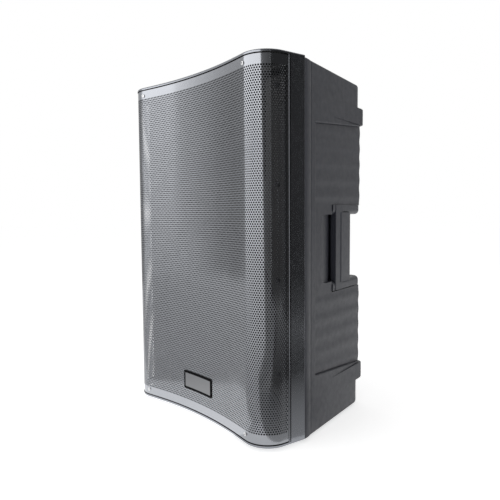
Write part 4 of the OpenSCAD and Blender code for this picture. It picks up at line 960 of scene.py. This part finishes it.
for side in (-1, 1):
    pocket = outline_slab("pocket", on_side(pocket_plan, side), POCKET_Z0, POCKET_Z1)
    round_edges(pocket, scoop_edge, POCKET_R, 4)
    combine(rear_shell, pocket, "DIFFERENCE")
    for z0, z1 in (
        (POCKET_Z0 - GRIP_END - UNDER_GAP, POCKET_Z0 + SEAT_GAP),
        (POCKET_Z1 - SEAT_GAP, POCKET_Z1 + GRIP_END + OVER_GAP),
    ):
        seat = outline_slab("seat", on_side(seat_plan(SEAT_GAP, SEAT_OUT), side), z0, z1)
        combine(rear_shell, seat, "DIFFERENCE")
combine(rear_shell, amp_block("well", WELL_MARGIN, SEAT_Y, REAR_Y + PAST_REAR), "DIFFERENCE")
combine(rear_shell, amp_block("inside", RIM_MARGIN, SEAT_Y - 12, SEAT_Y + 9), "DIFFERENCE")
smooth(rear_shell, 30.0)
dress(rear_shell, shell_plastic, "cabinet", "shell_plastic", "rear_shell")

# %% [markdown]
# A grip is a rounded bar between two end blocks, moulded in one with a thin strip along its front.
# Bar, strip and blocks are pulled up from their plans, the outer corners of the blocks are rounded,
# and all four are joined into one solid.

# %% Handle grips
GRIP_T, GRIP_W, BAR_R, BAR_END, STRIP_IN, BLOCK_R = 30.0, 57.0, 10.0, 4.0, 2.0, 9.0


def bar_plan():
    """A rectangle with a quarter circle at each corner."""
    points = []
    for cx, cy, start in (
        (-BAR_R, GRIP_W - BAR_R, 0), (BAR_R - GRIP_T, GRIP_W - BAR_R, 90),
        (BAR_R - GRIP_T, BAR_R, 180), (-BAR_R, BAR_R, 270),
    ):
        for a in np.radians(np.linspace(start, start + 90, 7)):
            points.append((cx + BAR_R * math.cos(a), cy + BAR_R * math.sin(a)))
    return points


def at_grip(points, side):
    """Turns a plan, drawn with its outer face on x = 0, to the taper of the side."""
    c, s = math.cos(TAPER), math.sin(TAPER)
    return [(side * (side_x(GRIP_Y) + c * x - s * y), GRIP_Y + s * x + c * y) for x, y in points]


strip_plan = set_in(box_points(-GRIP_T / 2, -1, -STRIP_W, STRIP_W), [STRIP_IN, STRIP_IN, 0, 0], 3)
for side, word in ((-1, "left"), (1, "right")):
    grip = outline_slab("grip_" + word, at_grip(bar_plan(), side), POCKET_Z0 - BAR_END, POCKET_Z1 + BAR_END)
    strip = outline_slab("strip", at_grip(strip_plan, side), POCKET_Z0 - GRIP_END, POCKET_Z1 + GRIP_END)
    combine(grip, strip, "UNION")
    for z0, inner_z in ((POCKET_Z0 - GRIP_END, POCKET_Z0), (POCKET_Z1, POCKET_Z1)):
        block = outline_slab("block", on_side(seat_plan(0.0, 0.0), side), z0, z0 + GRIP_END)
        round_edges(
            block,
            lambda a, b: is_level(a, b) and abs(a.z - inner_z) < NEAR
            and (min(abs(a.x), abs(b.x)) > TAB_X + 1 or min(a.y, b.y) > REAR_Y - NEAR),
            BLOCK_R, 5,
        )
        combine(grip, block, "UNION")
    smooth(grip, 32.0)
    dress(grip, grip_plastic, "cabinet", "shell_plastic", "handle_grip_" + word)

# %% [markdown]
# The roof of the rear shell slopes, so the damping foam under it is drawn again as a flat mat that
# lies below the slope.

# %% Damping mat
foam_lo, foam_hi = (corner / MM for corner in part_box("damping_foam"))
mat_plan = box_points(foam_lo.x, foam_hi.x, foam_lo.y, foam_hi.y)
mat = outline_slab("damping_mat", mat_plan, CASE_TOP - (foam_hi.z - foam_lo.z), CASE_TOP)
grey_foam = grained("grey_foam", (0.10, 0.10, 0.11), 0.25, 0.95, 0.04, 420.0, 1.2, cells=True)
dress(mat, grey_foam, "cabinet", "grey_foam", "damping_foam")

# %% [markdown]
# The grille is sheet steel with a hexagonal pattern of round holes. One cell is drawn: a circle of
# eight points, whose edge is extruded outwards to a hexagon. Arrays repeat the cell into a row and
# the rows into a strip, and the borders are pulled straight. The flat strip gets its thickness from
# a Solidify modifier and is then rolled onto the wave, as the real sheet is bent after punching. The
# sheet is made in five strips side by side, so that no single mesh grows too large.

# %% One punched cell, repeated into a flat strip
HOLE_PITCH, HOLE_R, SHEET_T, SHEET_INSET, BORDER, MERGE = 4.75, 1.8, 1.2, 1.0, 18.0, 0.05
ROW_STEP, CELL_CORNER = HOLE_PITCH * math.sqrt(3) / 2, HOLE_PITCH / math.sqrt(3)
sheet_lo, sheet_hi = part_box("front_grille")
SHEET_Z0, SHEET_Z1, SHEET_END_Y = sheet_lo.z / MM, sheet_hi.z / MM, sheet_hi.y / MM
ROWS = 2 * int((SHEET_Z1 - SHEET_Z0 - 2 * BORDER) / ROW_STEP / 2 + 0.5)
FIRST_ROW = (SHEET_Z0 + SHEET_Z1 - (ROWS - 1) * ROW_STEP) / 2


def repeat(piece, count, step):
    pick_only(piece)
    array = piece.modifiers.new("repeat", "ARRAY")
    array.count = count
    array.use_relative_offset = False
    array.use_constant_offset = True
    array.constant_offset_displace = [s * MM for s in step]
    array.use_merge_vertices = True
    array.merge_threshold = MERGE * MM
    bpy.ops.object.modifier_apply(modifier=array.name)


def punched_cell(name):
    """A round hole of eight points in a hexagon: each outer point goes to a corner or a side of it."""
    to_object_mode()
    bpy.ops.mesh.primitive_circle_add(vertices=8, radius=HOLE_R * MM)
    cell = bpy.context.object
    cell.name = cell.data.name = name
    bpy.ops.object.mode_set(mode="EDIT")
    bpy.ops.mesh.select_all(action="SELECT")
    bpy.ops.mesh.extrude_edges_move()
    bpy.ops.object.mode_set(mode="OBJECT")
    for v in cell.data.vertices:
        if not v.select:
            continue
        a = math.degrees(math.atan2(v.co.y, v.co.x)) % 180
        angle = (0, 30, 90, 150)[round(a / 45) % 4]
        reach = HOLE_PITCH / 2 if angle == 0 else CELL_CORNER
        x, y = reach * math.cos(math.radians(angle)), reach * math.sin(math.radians(angle))
        flip = v.co.y < -1e-6 or (abs(v.co.y) < 1e-6 and v.co.x < 0)
        v.co = (-x * MM, -y * MM, 0) if flip else (x * MM, y * MM, 0)
    return cell


def on_hole(spot, first_u):
    """Whether a point of the flat strip lies on the edge of a hole."""
    row = round((spot.y - FIRST_ROW) / ROW_STEP)
    shift = first_u + row % 2 * HOLE_PITCH / 2
    column = round((spot.x - shift) / HOLE_PITCH)
    away = math.hypot(spot.x - shift - column * HOLE_PITCH, spot.y - FIRST_ROW - row * ROW_STEP)
    return away < HOLE_R + 0.1


def pull_border(strip, first_u, chosen, axis, value):
    """Extrudes the outer edges for which chosen(a, b) is true and moves the new ones to a straight line."""
    pick_only(strip)
    bpy.context.tool_settings.mesh_select_mode = (False, True, False)
    bpy.ops.object.mode_set(mode="EDIT")
    bpy.ops.mesh.select_all(action="DESELECT")
    bpy.ops.mesh.select_non_manifold(extend=False)
    bpy.ops.object.mode_set(mode="OBJECT")
    spots = [v.co / MM for v in strip.data.vertices]
    open_edges = [e for e in strip.data.edges if e.select]
    for v in strip.data.vertices:
        v.select = False
    for e in open_edges:
        a, b = (spots[i] for i in e.vertices)
        e.select = bool(chosen(a, b)) and not (on_hole(a, first_u) and on_hole(b, first_u))
        if e.select:
            for i in e.vertices:
                strip.data.vertices[i].select = True
    bpy.ops.object.mode_set(mode="EDIT")
    bpy.ops.mesh.extrude_edges_move()
    bpy.ops.object.mode_set(mode="OBJECT")
    for v in strip.data.vertices:
        if v.select:
            v.co[axis] = value * MM


def punched_strip(name, first_u, columns):
    """Rows of cells, every second one shifted by half a pitch, moved to their place on the flat sheet."""
    strip = punched_cell(name)
    repeat(strip, columns, (HOLE_PITCH, 0, 0))
    bpy.ops.object.duplicate()
    shifted = bpy.context.object
    shifted.data.transform(Matrix.Translation((HOLE_PITCH / 2 * MM, ROW_STEP * MM, 0)))
    strip.select_set(True)
    bpy.context.view_layer.objects.active = strip
    bpy.ops.object.join()
    repeat(strip, ROWS // 2, (0, 2 * ROW_STEP, 0))
    bpy.ops.object.mode_set(mode="EDIT")
    bpy.ops.mesh.select_all(action="SELECT")
    bpy.ops.mesh.remove_doubles(threshold=MERGE * MM)
    bpy.ops.object.mode_set(mode="OBJECT")
    strip.data.transform(Matrix.Translation((first_u * MM, FIRST_ROW * MM, 0)))
    return strip


print("rows of holes:", ROWS, "first row at", round(FIRST_ROW, 1))

# %% The roll onto the wave
def wave_lengths(inset):
    """Lengths along the sheet of the hollow, the flank, the shoulder and the band."""
    dish, arc = (DISH_R + inset) * WAVE, (SHOULDER_R - inset) * (WAVE + BAND)
    turn_y = SHOULDER_Y - (SHOULDER_R - inset) * math.cos(BAND)
    return dish, FLANK_L, arc, (SHEET_END_Y - turn_y) / math.sin(BAND)


def wave_point(u, inset=SHEET_INSET):
    """Place and outward direction of the sheet at the distance u from the middle."""
    side = -1 if u < 0 else 1
    u = abs(u)
    dish, flank, arc, _ = wave_lengths(inset)
    if u <= dish:
        a = u / (DISH_R + inset)
        x, y = (DISH_R + inset) * math.sin(a), DISH_Y - DISH_R + (DISH_R + inset) * math.cos(a)
        nx, ny = -math.sin(a), -math.cos(a)
    elif u <= dish + flank:
        s = u - dish
        x = (DISH_R + inset) * math.sin(WAVE) + s * math.cos(WAVE)
        y = DISH_Y - DISH_R + (DISH_R + inset) * math.cos(WAVE) - s * math.sin(WAVE)
        nx, ny = -math.sin(WAVE), -math.cos(WAVE)
    elif u <= dish + flank + arc:
        r = SHOULDER_R - inset
        a = (u - dish - flank) / r - WAVE
        x, y = SHOULDER_X + r * math.sin(a), SHOULDER_Y - r * math.cos(a)
        nx, ny = math.sin(a), -math.cos(a)
    else:
        s, r = u - dish - flank - arc, SHOULDER_R - inset
        x = SHOULDER_X + r * math.sin(BAND) + s * math.cos(BAND)
        y = SHOULDER_Y - r * math.cos(BAND) + s * math.sin(BAND)
        nx, ny = math.sin(BAND), -math.cos(BAND)
    return side * x, y, side * nx, ny


def roll(piece, inset=SHEET_INSET):
    """Bends a flat piece, drawn with u along X, height along Y and depth along -Z, onto the wave."""
    spots = np.empty(len(piece.data.vertices) * 3)
    piece.data.vertices.foreach_get("co", spots)
    spots = spots.reshape(-1, 3) / MM
    known = {}
    for i, (u, z, w) in enumerate(spots):
        key = round(u, 4)
        if key not in known:
            known[key] = wave_point(u, inset)
        x, y, nx, ny = known[key]
        spots[i] = (x + nx * w, y + ny * w, z)
    piece.data.vertices.foreach_set("co", (spots * MM).reshape(-1))
    piece.data.update()


SHEET_HALF = sum(wave_lengths(SHEET_INSET))
print("flat sheet:", round(2 * SHEET_HALF, 1), "by", round(SHEET_Z1 - SHEET_Z0, 1), "mm")

# %% Five strips with their borders and thickness
COLUMNS, END_REACH = (21, 21, 22, 22, 21), 2.6
LOW_EDGE = FIRST_ROW - CELL_CORNER / 2 + 0.1
HIGH_EDGE = SHEET_Z0 + SHEET_Z1 - LOW_EDGE
u_start = -sum(COLUMNS) * HOLE_PITCH / 2 + HOLE_PITCH / 4
for number, columns in enumerate(COLUMNS):
    strip = punched_strip("grille_strip_%d" % (number + 1), u_start, columns)
    pull_border(strip, u_start, lambda a, b: max(a.y, b.y) < LOW_EDGE, 1, SHEET_Z0)
    pull_border(strip, u_start, lambda a, b: min(a.y, b.y) > HIGH_EDGE, 1, SHEET_Z1)
    if number == 0:
        left_u = u_start - HOLE_PITCH / 2 + END_REACH
        pull_border(strip, u_start, lambda a, b: max(a.x, b.x) < left_u, 0, -SHEET_HALF)
    if number == len(COLUMNS) - 1:
        right_u = u_start + columns * HOLE_PITCH - END_REACH
        pull_border(strip, u_start, lambda a, b: min(a.x, b.x) > right_u, 0, SHEET_HALF)
    pick_only(strip)
    face_outwards()
    thick = strip.modifiers.new("thickness", "SOLIDIFY")
    thick.thickness = SHEET_T * MM
    thick.offset = -1.0 if strip.data.polygons[0].normal.z > 0 else 1.0
    bpy.ops.object.modifier_apply(modifier=thick.name)
    roll(strip)
    pick_only(strip)
    bpy.ops.object.shade_smooth_by_angle(angle=math.radians(30.0))
    dress(strip, grille_paint, "cabinet", "grille_steel", "front_grille")
    u_start += columns * HOLE_PITCH
print("holes in a row:", sum(COLUMNS))

# %% [markdown]
# Screw heads are turned parts: a short cylinder with a rounded edge and a cross recess. One helper
# makes them at the origin and then sets them square to the sheet they hold, so that all screws on
# the outside share one construction.

# %% Screws of the grille
SCREW_R, SCREW_H, SCREW_IN, SCREW_END = 3.9, 2.2, 9.0, 18.0


def screw_head(name, radius, height, place, facing, shank=0.0, sides=28):
    """A pan head with a cross recess: place is the seat in millimetres, facing its outward direction."""
    to_object_mode()
    bpy.ops.mesh.primitive_cylinder_add(vertices=sides, radius=radius * MM, depth=height * MM)
    head = bpy.context.object
    head.name = head.data.name = name
    head.data.transform(Matrix.Translation((0, 0, height / 2 * MM)))
    round_edges(head, lambda a, b: min(a.z, b.z) > height - NEAR, height * 0.55, 4)
    for turned in (0, 90):
        to_object_mode()
        bpy.ops.mesh.primitive_cube_add(size=1.0)
        slot = bpy.context.object
        slot.scale = (radius * 1.15 * MM, radius * 0.24 * MM, height * MM)
        slot.rotation_euler = (0, 0, math.radians(turned))
        slot.location = (0, 0, height * 0.95 * MM)
        bpy.ops.object.transform_apply(location=True, rotation=True, scale=True)
        combine(head, slot, "DIFFERENCE")
    if shank:
        to_object_mode()
        bpy.ops.mesh.primitive_cylinder_add(
            vertices=sides // 2, radius=radius / 2 * MM, depth=shank * MM,
            location=(0, 0, (0.2 - shank / 2) * MM),
        )
        rod = bpy.context.object
        bpy.ops.object.transform_apply(location=True, rotation=True, scale=True)
        combine(head, rod, "UNION")
    aim = Vector(facing).to_track_quat("Z", "Y").to_matrix().to_4x4()
    head.data.transform(Matrix.Translation(Vector(place) * MM) @ aim)
    smooth(head, 35.0)
    return head


def join_all(name, pieces):
    to_object_mode()
    for piece in pieces:
        piece.select_set(True)
    bpy.context.view_layer.objects.active = pieces[0]
    bpy.ops.object.join()
    pieces[0].name = pieces[0].data.name = name
    return pieces[0]


screw_x = SHOULDER_X - SCREW_IN
flank_u = wave_lengths(0)[0] + (screw_x - DISH_R * math.sin(WAVE)) / math.cos(WAVE)
heads = []
for side in (-1, 1):
    x, y, nx, ny = wave_point(side * flank_u)
    for z in (BASE_Z + SCREW_END, TOP_Z - SCREW_END):
        heads.append(screw_head("grille_screw", SCREW_R, SCREW_H, (x, y, z), (nx, ny, 0)))
dress(join_all("grille_screw_heads", heads), zinc_steel, "cabinet", "fastener_steel", "grille_screws")

# %% [markdown]
# The badge is a small curved plate in the hollow of the grille: a dark frame with a brushed field
# that is left bare. Frame and field start as flat blocks of small squares, which the same roll
# function bends onto the wave.

# %% Badge frame and field
badge_lo, badge_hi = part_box("badge_frame")
field_lo, field_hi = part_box("badge_plate")
BADGE_UP, FIELD_IN, FIELD_GAP, RIM_TOP, FIELD_SEAT, FIELD_TOP = 6.0, 3.0, 0.2, 1.5, 0.9, 1.35
BADGE_Z = (badge_lo.z + badge_hi.z) / 2 / MM + BADGE_UP


def tile(name, width, height, w0, w1, corner):
    """A flat block of small squares in the u-z plane, from depth w0 to w1 in front of the sheet."""
    to_object_mode()
    bpy.ops.mesh.primitive_grid_add(x_subdivisions=18, y_subdivisions=4, size=1.0)
    block = bpy.context.object
    block.name = block.data.name = name
    for v in block.data.vertices:
        v.co = (v.co.x * width * MM, (v.co.y * height + BADGE_Z) * MM, w0 * MM)
    pull((0, 0, w1 - w0))
    round_edges(
        block,
        lambda a, b: abs(a.z - b.z) > 0.1 and abs(abs(a.x) - width / 2) < NEAR
        and abs(abs(a.y - BADGE_Z) - height / 2) < NEAR,
        corner, 5,
    )
    return block


badge_w, badge_h = (badge_hi.x - badge_lo.x) / MM, (badge_hi.z - badge_lo.z) / MM
field_w, field_h = (field_hi.x - field_lo.x) / MM - FIELD_IN, (field_hi.z - field_lo.z) / MM - FIELD_IN


def badge_rim(a, b):
    upright = abs(abs(a.x) - abs(b.x)) < 1e-3 and abs(a.x) > badge_w / 2 - 0.2
    lying = abs(a.y - b.y) < 1e-3 and abs(a.y - BADGE_Z) > badge_h / 2 - NEAR
    return min(a.z, b.z) > RIM_TOP - NEAR and (upright or lying)


badge = tile("badge_rim", badge_w - 0.3, badge_h, 0.0, RIM_TOP, 2.5)
field_cut = tile("field_cut", field_w + FIELD_GAP, field_h + FIELD_GAP, FIELD_SEAT, 2 * RIM_TOP, 1.2)
combine(badge, field_cut, "DIFFERENCE")
round_edges(badge, badge_rim, 0.4, 2)
field = tile("badge_field", field_w, field_h, FIELD_SEAT, FIELD_TOP, 1.1)
for piece in (badge, field):
    roll(piece)
    smooth(piece, 30.0)
dress(badge, badge_black, "cabinet", "badge_black", "badge_frame")
dress(field, brushed_silver, "cabinet", "badge_silver", "badge_plate")

# %% [markdown]
# The rear panel carries turned knobs, printed marks, nickel rings around the sockets and black screws.
# Each is drawn flat, as one looks at the panel from behind, and a matrix then stands it up on the
# panel's face. The knobs have flutes for the fingers and a pale line that shows where they point.

# %% Level knobs
ON_PANEL = Matrix(((-1, 0, 0, 0), (0, 0, 1, AMP_Y * MM), (0, 1, 0, 0), (0, 0, 0, 1)))
KNOB_LIFT, SKIRT_R, SKIRT_T, SPINDLE_R, LINE_W = 1.2, 7.9, 2.4, 2.9, 0.9
FLUTES, FLUTE_R, FLUTE_D = 18, 6.7, 0.55
knob_plastic = grained("knob_plastic", (0.020, 0.020, 0.021), 0.12, 0.42, 0.06, 1200.0, 0.06)
pale_plastic = grained("pale_plastic", (0.62, 0.62, 0.60), 0.05, 0.35, 0.05, 900.0, 0.03)


def circle_points(radius, sides, wave=0.0):
    """Points of a circle; with a wave, every second pair of points lies further in, as flutes do."""
    steps = [(i * 2 * math.pi / sides, radius - wave * (i // 2 % 2)) for i in range(sides)]
    return [(r * math.cos(a), r * math.sin(a)) for a, r in steps]


def panel_place(x, z):
    return ON_PANEL @ Matrix.Translation((-x * MM, z * MM, 0))


knob_spots = []
for number in (1, 2, 3):
    node = "level_knob_%d" % number
    lo, hi = (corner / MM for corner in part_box(node))
    x, z, top, foot = (lo.x + hi.x) / 2, (lo.z + hi.z) / 2, hi.y - AMP_Y, lo.y - AMP_Y
    knob_spots.append((x, z))
    fluted = circle_points(FLUTE_R, 4 * FLUTES, FLUTE_D)
    cap = outline_slab("knob_cap_%d" % number, fluted, KNOB_LIFT, top - 0.1)
    round_edges(cap, lambda a, b: min(a.z, b.z) > top - 0.2, 0.7, 2)
    skirt = outline_slab("skirt", circle_points(SKIRT_R, 48), KNOB_LIFT, KNOB_LIFT + SKIRT_T)
    round_edges(skirt, lambda a, b: min(a.z, b.z) > KNOB_LIFT + SKIRT_T - 0.1, 0.6, 2)
    combine(cap, skirt, "UNION")
    combine(cap, outline_slab("spindle", circle_points(SPINDLE_R, 24), foot, KNOB_LIFT + 1), "UNION")
    line_plan = box_points(-LINE_W / 2, LINE_W / 2, 1.5, FLUTE_R - 1)
    line = outline_slab("knob_line_%d" % number, line_plan, top - 0.4, top)
    round_edges(line, lambda a, b: min(a.z, b.z) > top - 0.05, 0.05, 1)
    for piece, finish, slot in ((cap, knob_plastic, "knob_plastic"), (line, pale_plastic, "pale_plastic")):
        piece.data.transform(panel_place(x, z))
        smooth(piece, 30.0)
        dress(piece, finish, "knob_%d" % number, slot)
    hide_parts(node)

# %% Printed marks of the rear panel
TICK_R0, TICK_R1, LONG_TICK_R1, TICK_W, TICK_FROM, TICK_STEP = 10.0, 12.2, 13.2, 0.7, 225, 27
FRAME_W, FRAME_HALF, FRAME_BELOW, FRAME_ABOVE, WIDE_HALF, INK_T = 0.6, 22.5, 15, 78, 74.5, 0.12


def tick_plan(angle, r0, r1):
    c, s = math.cos(angle), math.sin(angle)
    return [(c * r - s * w, s * r + c * w) for r, w in box_points(r0, r1, -TICK_W / 2, TICK_W / 2)]


def frame_bars(x0, x1, z0, z1):
    """Four bars of a printed frame, in the panel's flat drawing."""
    return [
        box_points(x0, x1, z0, z0 + FRAME_W), box_points(x0, x1, z1 - FRAME_W, z1),
        box_points(x0, x0 + FRAME_W, z0, z1), box_points(x1 - FRAME_W, x1, z0, z1),
    ]


drawn = []
for x, z in knob_spots:
    for step in range(11):
        reach = LONG_TICK_R1 if step % 5 == 0 else TICK_R1
        tick = tick_plan(math.radians(TICK_FROM - TICK_STEP * step), TICK_R0, reach)
        drawn.append([(u - x, v + z) for u, v in tick])
    drawn += frame_bars(-x - FRAME_HALF, -x + FRAME_HALF, z - FRAME_BELOW, z + FRAME_ABOVE)
light_lo, light_hi = (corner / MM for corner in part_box("status_lights"))
mains_lo, mains_hi = (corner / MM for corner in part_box("mains_inlet"))
drawn += frame_bars(-WIDE_HALF, WIDE_HALF, light_lo.z - 7, light_hi.z + 7)
drawn += frame_bars(-WIDE_HALF, WIDE_HALF, mains_lo.z - 8, mains_hi.z + 8)
marks = join_all("panel_marks", [outline_slab("mark", points, -0.02, INK_T) for points in drawn])
marks.data.transform(ON_PANEL)
dress(marks, pale_plastic, "cabinet", "pale_plastic")

# %% Socket rings and screws of the rear panel
RING_R, RING_BORE, RING_T, PAN_H = 10.2, 9.2, 0.7, 2.4
nickel = grained("nickel", (0.56, 0.55, 0.53), 0.06, 0.24, 0.05, 900.0, 0.01, metallic=1.0)
rings = []
for node in ("input_jack_1", "input_jack_2", "link_output"):
    lo, hi = (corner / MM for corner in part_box(node))
    face = hi.y - AMP_Y
    ring = outline_slab("socket_ring", circle_points(RING_R, 48), face - 0.1, face + RING_T)
    round_edges(ring, lambda a, b: min(a.z, b.z) > face + RING_T - 0.1, RING_T / 2, 3)
    combine(ring, outline_slab("bore", circle_points(RING_BORE, 48), face - 2, face + 2), "DIFFERENCE")
    ring.data.transform(panel_place((lo.x + hi.x) / 2, (lo.z + hi.z) / 2))
    smooth(ring, 30.0)
    rings.append(ring)
dress(join_all("socket_rings", rings), nickel, "cabinet", "plain_steel")

black_steel = grained("fastener_steel", (0.045, 0.045, 0.05), 0.15, 0.36, 0.08, 800.0, 0.03, metallic=0.8)
for node, radius, rows in (("panel_screws", 2.7, 4), ("handle_screws", 3.5, 2)):
    lo, hi = (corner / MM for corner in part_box(node))
    height = min(PAN_H, hi.y - (AMP_Y if node == "panel_screws" else REAR_Y))
    seat = hi.y - height
    heads = [
        screw_head("screw", radius, height, (x, seat, z), (0, 1, 0), seat - lo.y)
        for x in (lo.x + radius, hi.x - radius)
        for z in np.linspace(lo.z + radius, hi.z - radius, rows)
    ]
    dress(join_all(node[:-1] + "_heads", heads), black_steel, "cabinet", "fastener_steel", node)

# %% [markdown]
# The remaining CAD nodes keep their own shapes and get finishes of their own. They sit behind the
# grille, inside the case or on the rear panel. Cloth and windings use bands, which a wave texture
# gives; pulp, foam and ferrite use noises or cells.

# %% Finishes of the nodes that keep their CAD shape
finishes = {
    "shell_plastic": shell_plastic,
    "black_plastic": black_plastic,
    "black_rubber": black_rubber,
    "fastener_steel": black_steel,
    "grille_steel": grille_paint,
    "badge_black": badge_black,
    "badge_silver": brushed_silver,
    "grey_foam": grey_foam,
    "black_metal": grained("black_metal", (0.035, 0.035, 0.038), 0.15, 0.45, 0.08, 700.0, 0.12),
    "black_cloth": banded("black_cloth", (0.022, 0.022, 0.024), (0.045, 0.045, 0.048), 700.0, 0.85, 0.25),
    "cone_pulp": grained("cone_pulp", (0.065, 0.065, 0.070), 0.30, 0.80, 0.08, 380.0, 0.35),
    "copper": banded("copper", (0.75, 0.36, 0.22), (0.45, 0.18, 0.10), 1200.0, 0.30, 0.08, 1.0, "Y"),
    "amber_cloth": banded("amber_cloth", (0.45, 0.24, 0.07), (0.30, 0.15, 0.04), 800.0, 0.80, 0.20),
    "plain_steel": grained("plain_steel", (0.52, 0.52, 0.53), 0.10, 0.34, 0.08, 900.0, 0.03, metallic=1.0),
    "ferrite": grained("ferrite", (0.045, 0.043, 0.042), 0.25, 0.62, 0.10, 500.0, 0.15),
    "thin_metal": grained("thin_metal", (0.66, 0.66, 0.68), 0.06, 0.28, 0.06, 700.0, 0.03, metallic=1.0),
    "panel_metal": grained("panel_metal", (0.022, 0.022, 0.024), 0.12, 0.48, 0.06, 1300.0, 0.10),
    "sink_aluminium": grained(
        "sink_aluminium", (0.05, 0.05, 0.052), 0.12, 0.42, 0.06, 900.0, 0.04, metallic=0.7
    ),
    "circuit_board": banded("circuit_board", (0.02, 0.14, 0.06), (0.03, 0.22, 0.09), 160.0, 0.40, 0.08),
    "winding": banded("winding", (0.55, 0.26, 0.10), (0.38, 0.16, 0.06), 500.0, 0.40, 0.12, 0.6, "X"),
    "knob_plastic": knob_plastic,
    "socket_plastic": grained("socket_plastic", (0.028, 0.028, 0.030), 0.10, 0.36, 0.05, 1200.0, 0.05),
    "red_plastic": grained("red_plastic", (0.50, 0.02, 0.02), 0.08, 0.30, 0.05, 900.0, 0.03),
    "pale_plastic": pale_plastic,
    "lamp_plastic": grained("lamp_plastic", (0.30, 0.62, 0.22), 0.10, 0.15, 0.04, 700.0, 0.02, coat=0.5),
}
for node in node_objects.values():
    for index, old in enumerate(node.data.materials):
        node.data.materials[index] = finishes[old.name.split(".")[0]]
print("nodes with finishes:", len(node_objects), "finishes:", len(finishes))
